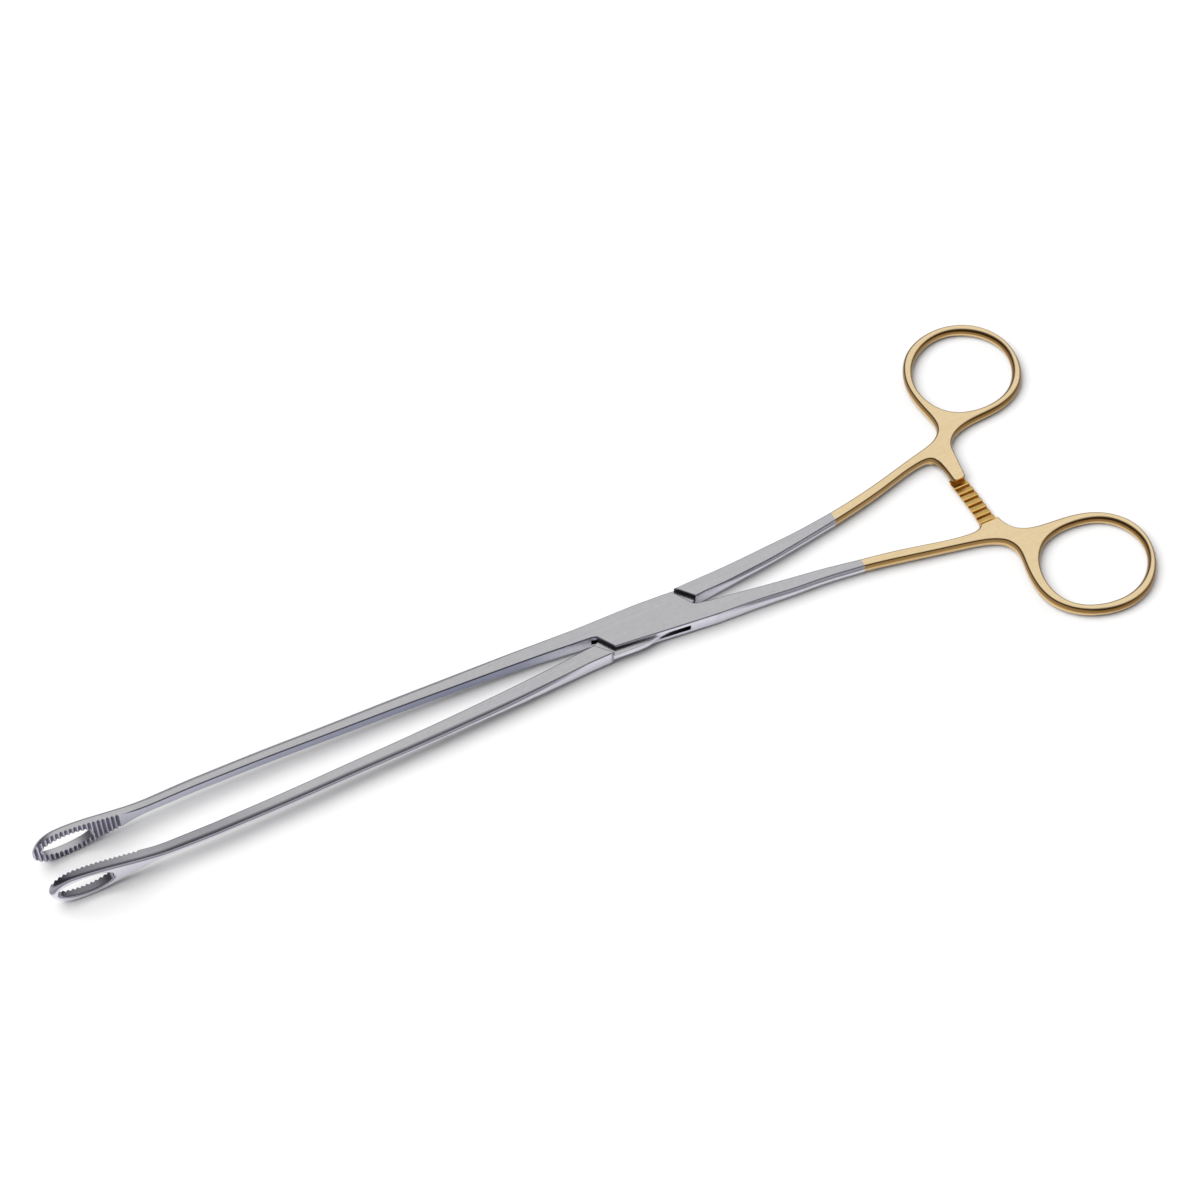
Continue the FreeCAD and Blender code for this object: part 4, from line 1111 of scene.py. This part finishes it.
def bar(name, left, right, path, sign, mirror, flush):
    """A ratchet bar from stations (y, inner level, outer level). sign +1 has its smooth
    side up; the teeth are on the inner level."""
    b = Builder()
    tip, root = path[-1][0], path[0][0]
    left, right = ([(v, x + (end - along(side, root)) * max(0.0, 1 - abs(v - root) / 2.5) ** 2) for v, x in side]
                   for side, end in zip((left, right), JOINTS[mirror]))

    def slope_of(side, y):
        a, c = min(y + 0.1, max(q[0] for q in side)), max(y - 0.1, min(q[0] for q in side))
        return (along(side, a) - along(side, c)) / (a - c)
    R = 0.45
    bb, r, H = 0.60, 0.30, 1.35

    def inset(z, h):
        z = abs(z)
        return edge_profile(z + H - h if z > h - r else z, H, bb, r)

    sec = []
    for y, c, h in path:
        d = abs(y - tip)
        cut = R - math.sqrt(max(R * R - (R - d) ** 2, 0.0)) if d < R else 0.0
        xl, xr = along(left, y) + cut, along(right, y) - cut
        zs = [max(c, v) for v in (-1.35, -1.25, -1.05, -0.6, -0.1, 0.3)] + [0.62, 0.76]
        zs += [h - r + r * math.sin(t) for t in np.linspace(0, math.pi / 2, 6)]
        sl, sr = slope_of(left, y), slope_of(right, y)
        L, Rr, nl, nr = [], [], [], []
        twin = sec[-1] if sec and abs(path[len(sec) - 1][0] - y) < 1e-9 else None
        for k, z in enumerate(zs):
            q, slope = inset(z, h)
            slope = slope * (1 if z > 0 else -1)
            if k and abs(z - zs[k - 1]) < 1e-9:
                L.append(L[-1])
                Rr.append(Rr[-1])
            elif twin and k >= 6:
                L.append(twin[0][k])
                Rr.append(twin[1][k])
            else:
                L.append(b.add((xl + q * math.hypot(1, sl), y, ZM + sign * z)))
                Rr.append(b.add((xr - q * math.hypot(1, sr), y, ZM + sign * z)))
            nl.append(np.array([-1.0, sl, slope * sign]))
            nr.append(np.array([1.0, -sr, slope * sign]))
        sec.append((L, Rr, nl, nr))
    m = len(sec[0][0])
    up = np.array([0, 0, float(sign)])
    for (L0, R0, a0, c0), (L1, R1, a1, c1), s0, s1 in zip(sec, sec[1:], path, path[1:]):
        for j in range(m - 1):
            b.use = 0
            for P0, P1, n0, n1 in ((L0, L1, a0, a1), (R0, R1, c0, c1)):
                q = [P0[j], P1[j], P1[j + 1], P0[j + 1]]
                nn = [n0[j], n1[j], n1[j + 1], n0[j + 1]]
                if j == m - 2:
                    nn[2] = nn[3] = up
                if len(set(q)) > 2:
                    b.facing(q, nn)
        b.use = 0
        if abs(s0[0] - s1[0]) > 1e-9:
            b.facing([L0[-1], L1[-1], R1[-1], R0[-1]], [up] * 4)
        b.use = 1
        across = (0, 0, -sign)
        if abs(s0[0] - s1[0]) < 1e-9:
            across = (0, math.copysign(1.0, tip - path[0][0]) * math.copysign(1.0, s1[1] - s0[1]), 0)
        b.facing([L0[0], L1[0], R1[0], R0[0]], None, across)
    b.use = 0
    for k, side in ((0, (0, path[0][0] - tip, 0)), (-1, (0, tip - path[0][0], 0))):
        ring = sec[k][0] + sec[k][1][::-1]
        ring = [v for t, v in enumerate(ring) if v != ring[t - 1]]
        b.facing(ring, None, side)
    if mirror:
        b.flipped()
    return b.build(name, [GILT, GILT_RATCHET] if flush else [GILT_RATCHET, GILT_RATCHET])


up_path = [(9.95, 0.05, 1.35), (8.9, 0.05, 1.35), (8.40, 0.05, 1.35), (8.15, 0.05, 1.35), (6.70, 0.50, 1.35), (6.70, 0.05, 1.35),
           (6.45, 0.05, 1.35), (5.00, 0.50, 1.35), (5.00, 0.05, 1.35), (4.75, 0.05, 1.35), (3.50, 0.44, 1.35),
           (3.30, 0.50, 1.30), (3.15, 0.55, 1.20), (3.05, 0.60, 1.05)]
low_path = [(9.8, -1.35, 1.35), (9.65, -1.35, 1.35), (9.45, -1.15, 1.35), (9.05, -0.55, 1.35), (8.9, 0.50, 1.35), (8.6, 0.50, 1.35)]
y = 8.6
while y - 1.70 > -4.2:
    low_path += [(y, 0.05, 1.35), (y - 0.25, 0.05, 1.35), (y - 1.70, 0.50, 1.35)]
    y -= 1.70
low_path += [(y, 0.05, 1.35), (y - 0.25, 0.05, 1.35), (-3.75, 0.09, 1.35), (-3.95, 0.14, 1.30), (-4.12, 0.20, 1.18),
             (-4.2, 0.26, 1.05)]

place_piece(bar("tongue_arm_ratchet", UPPER_LEFT, UPPER_RIGHT, up_path, 1, False, True),
            "tongue_arm", "gilt", "tongue_arm_ratchet_bar")
place_piece(bar("box_arm_ratchet", LOWER_LEFT, LOWER_RIGHT, low_path, -1, True, False),
            "box_arm", "gilt", "box_arm_ratchet_bar")


def pin():
    """The pin is ground and polished into both plates, so its ends stop a hair inside them."""
    b = Builder()
    n = 48
    prof = [(1.30, 0.03), (1.45, 0.03), (1.50, 0.08), (1.50, 1.95), (1.50, 3.82), (1.45, 3.87), (1.30, 3.87)]
    rows = [[b.add((r * math.cos(2 * math.pi * k / n), r * math.sin(2 * math.pi * k / n), z)) for k in range(n)]
            for r, z in prof]
    for lo_, hi_ in zip(rows, rows[1:]):
        for k in range(n):
            b.face([lo_[k], lo_[(k + 1) % n], hi_[(k + 1) % n], hi_[k]])
    b.face(rows[0][::-1])
    b.face(rows[-1])
    return b.build("pivot_pin_solid", STEEL)


place_piece(pin(), "box_arm", "satin_steel", "pivot_pin")

# ------------------------------------------------------------------ floor, light, camera
tilt = math.atan2(3.37, 221.8)


def floor_z(x_mm):
    return (-2.79 + (x_mm + 129.4) * math.tan(tilt)) * MM


fm, nt, p = nodes_of("pale_floor")
p.inputs["Roughness"].default_value = 0.9
p.inputs["Specular IOR Level"].default_value = 0.1
soft = noise(nt, stretched(nt, (1, 1, 1)), 40.0, 2.0, 0.5)
nt.links.new(ramp(nt, soft.outputs["Fac"], [(0.3, (0.50, 0.50, 0.50)), (0.7, (0.515, 0.515, 0.515))]).outputs["Color"],
             p.inputs["Base Color"])
me = bpy.data.meshes.new("floor")
S = 3000.0
me.from_pydata([(x * MM, y * MM, floor_z(x)) for x, y in ((-S, -S), (S, -S), (S, S), (-S, S))], [], [(0, 1, 2, 3)])
me.materials.append(fm)
floor = bpy.data.objects.new("floor", me)
bpy.context.scene.collection.objects.link(floor)

world = bpy.data.worlds.new("studio")
bpy.context.scene.world = world
world.use_nodes = True
wn = world.node_tree
bg = wn.nodes["Background"]
tc = wn.nodes.new("ShaderNodeTexCoord")
lobe = wn.nodes.new("ShaderNodeVectorMath")
lobe.operation = "DOT_PRODUCT"
lobe.inputs[1].default_value = (0.42, 0.24, 0.875)
wn.links.new(tc.outputs["Generated"], lobe.inputs[0])
sky = ramp(wn, lobe.outputs["Value"], [(0.0, (0.17, 0.17, 0.185)), (0.35, (0.22, 0.22, 0.24)), (0.60, (0.42, 0.42, 0.44)),
                                       (0.80, (0.85, 0.85, 0.865)), (0.92, (0.95, 0.95, 0.96)), (1.0, (0.98, 0.98, 0.99))])
wn.links.new(sky.outputs["Color"], bg.inputs["Color"])
bg.inputs["Strength"].default_value = 1.0


def area(name, at, target, size, power, col=(1, 1, 1)):
    l = bpy.data.lights.new(name, "AREA")
    l.shape = "RECTANGLE"
    l.size, l.size_y = size
    l.energy = power
    l.color = col
    o = bpy.data.objects.new(name, l)
    o.location = at
    o.rotation_mode = "QUATERNION"
    o.rotation_quaternion = (Vector(target) - Vector(at)).to_track_quat("-Z", "Y")
    bpy.context.scene.collection.objects.link(o)
    return o


e, a = math.radians(57.02), math.radians(26.08)
right = Vector((math.cos(a), -math.sin(a), 0))
fwd = Vector((math.sin(a) * math.cos(e), math.cos(a) * math.cos(e), -math.sin(e)))
up = right.cross(fwd)
away = Vector((math.sin(a), math.cos(a), 0))

sun = bpy.data.lights.new("key", "SUN")
sun.energy = 5.5
sun.angle = math.radians(60)
so = bpy.data.objects.new("key", sun)
so.rotation_mode = "QUATERNION"
toward = -0.50 * right - 0.03 * away + Vector((0, 0, 0.86))
so.rotation_quaternion = (-toward).to_track_quat("-Z", "Y")
bpy.context.scene.collection.objects.link(so)
so.visible_glossy = False

cam = bpy.data.cameras.new("camera")
co = bpy.data.objects.new("camera", cam)
bpy.context.scene.collection.objects.link(co)
M = Matrix((right, up, -fwd)).transposed().to_4x4()
M.translation = Vector((-0.1656267, -0.3173265, 0.5630119))
co.matrix_world = M
cam.lens = 36 * 3167.4 / 1200
cam.clip_start, cam.clip_end = 0.01, 20
bpy.context.scene.camera = co
bpy.context.scene.view_settings.view_transform = "Standard"
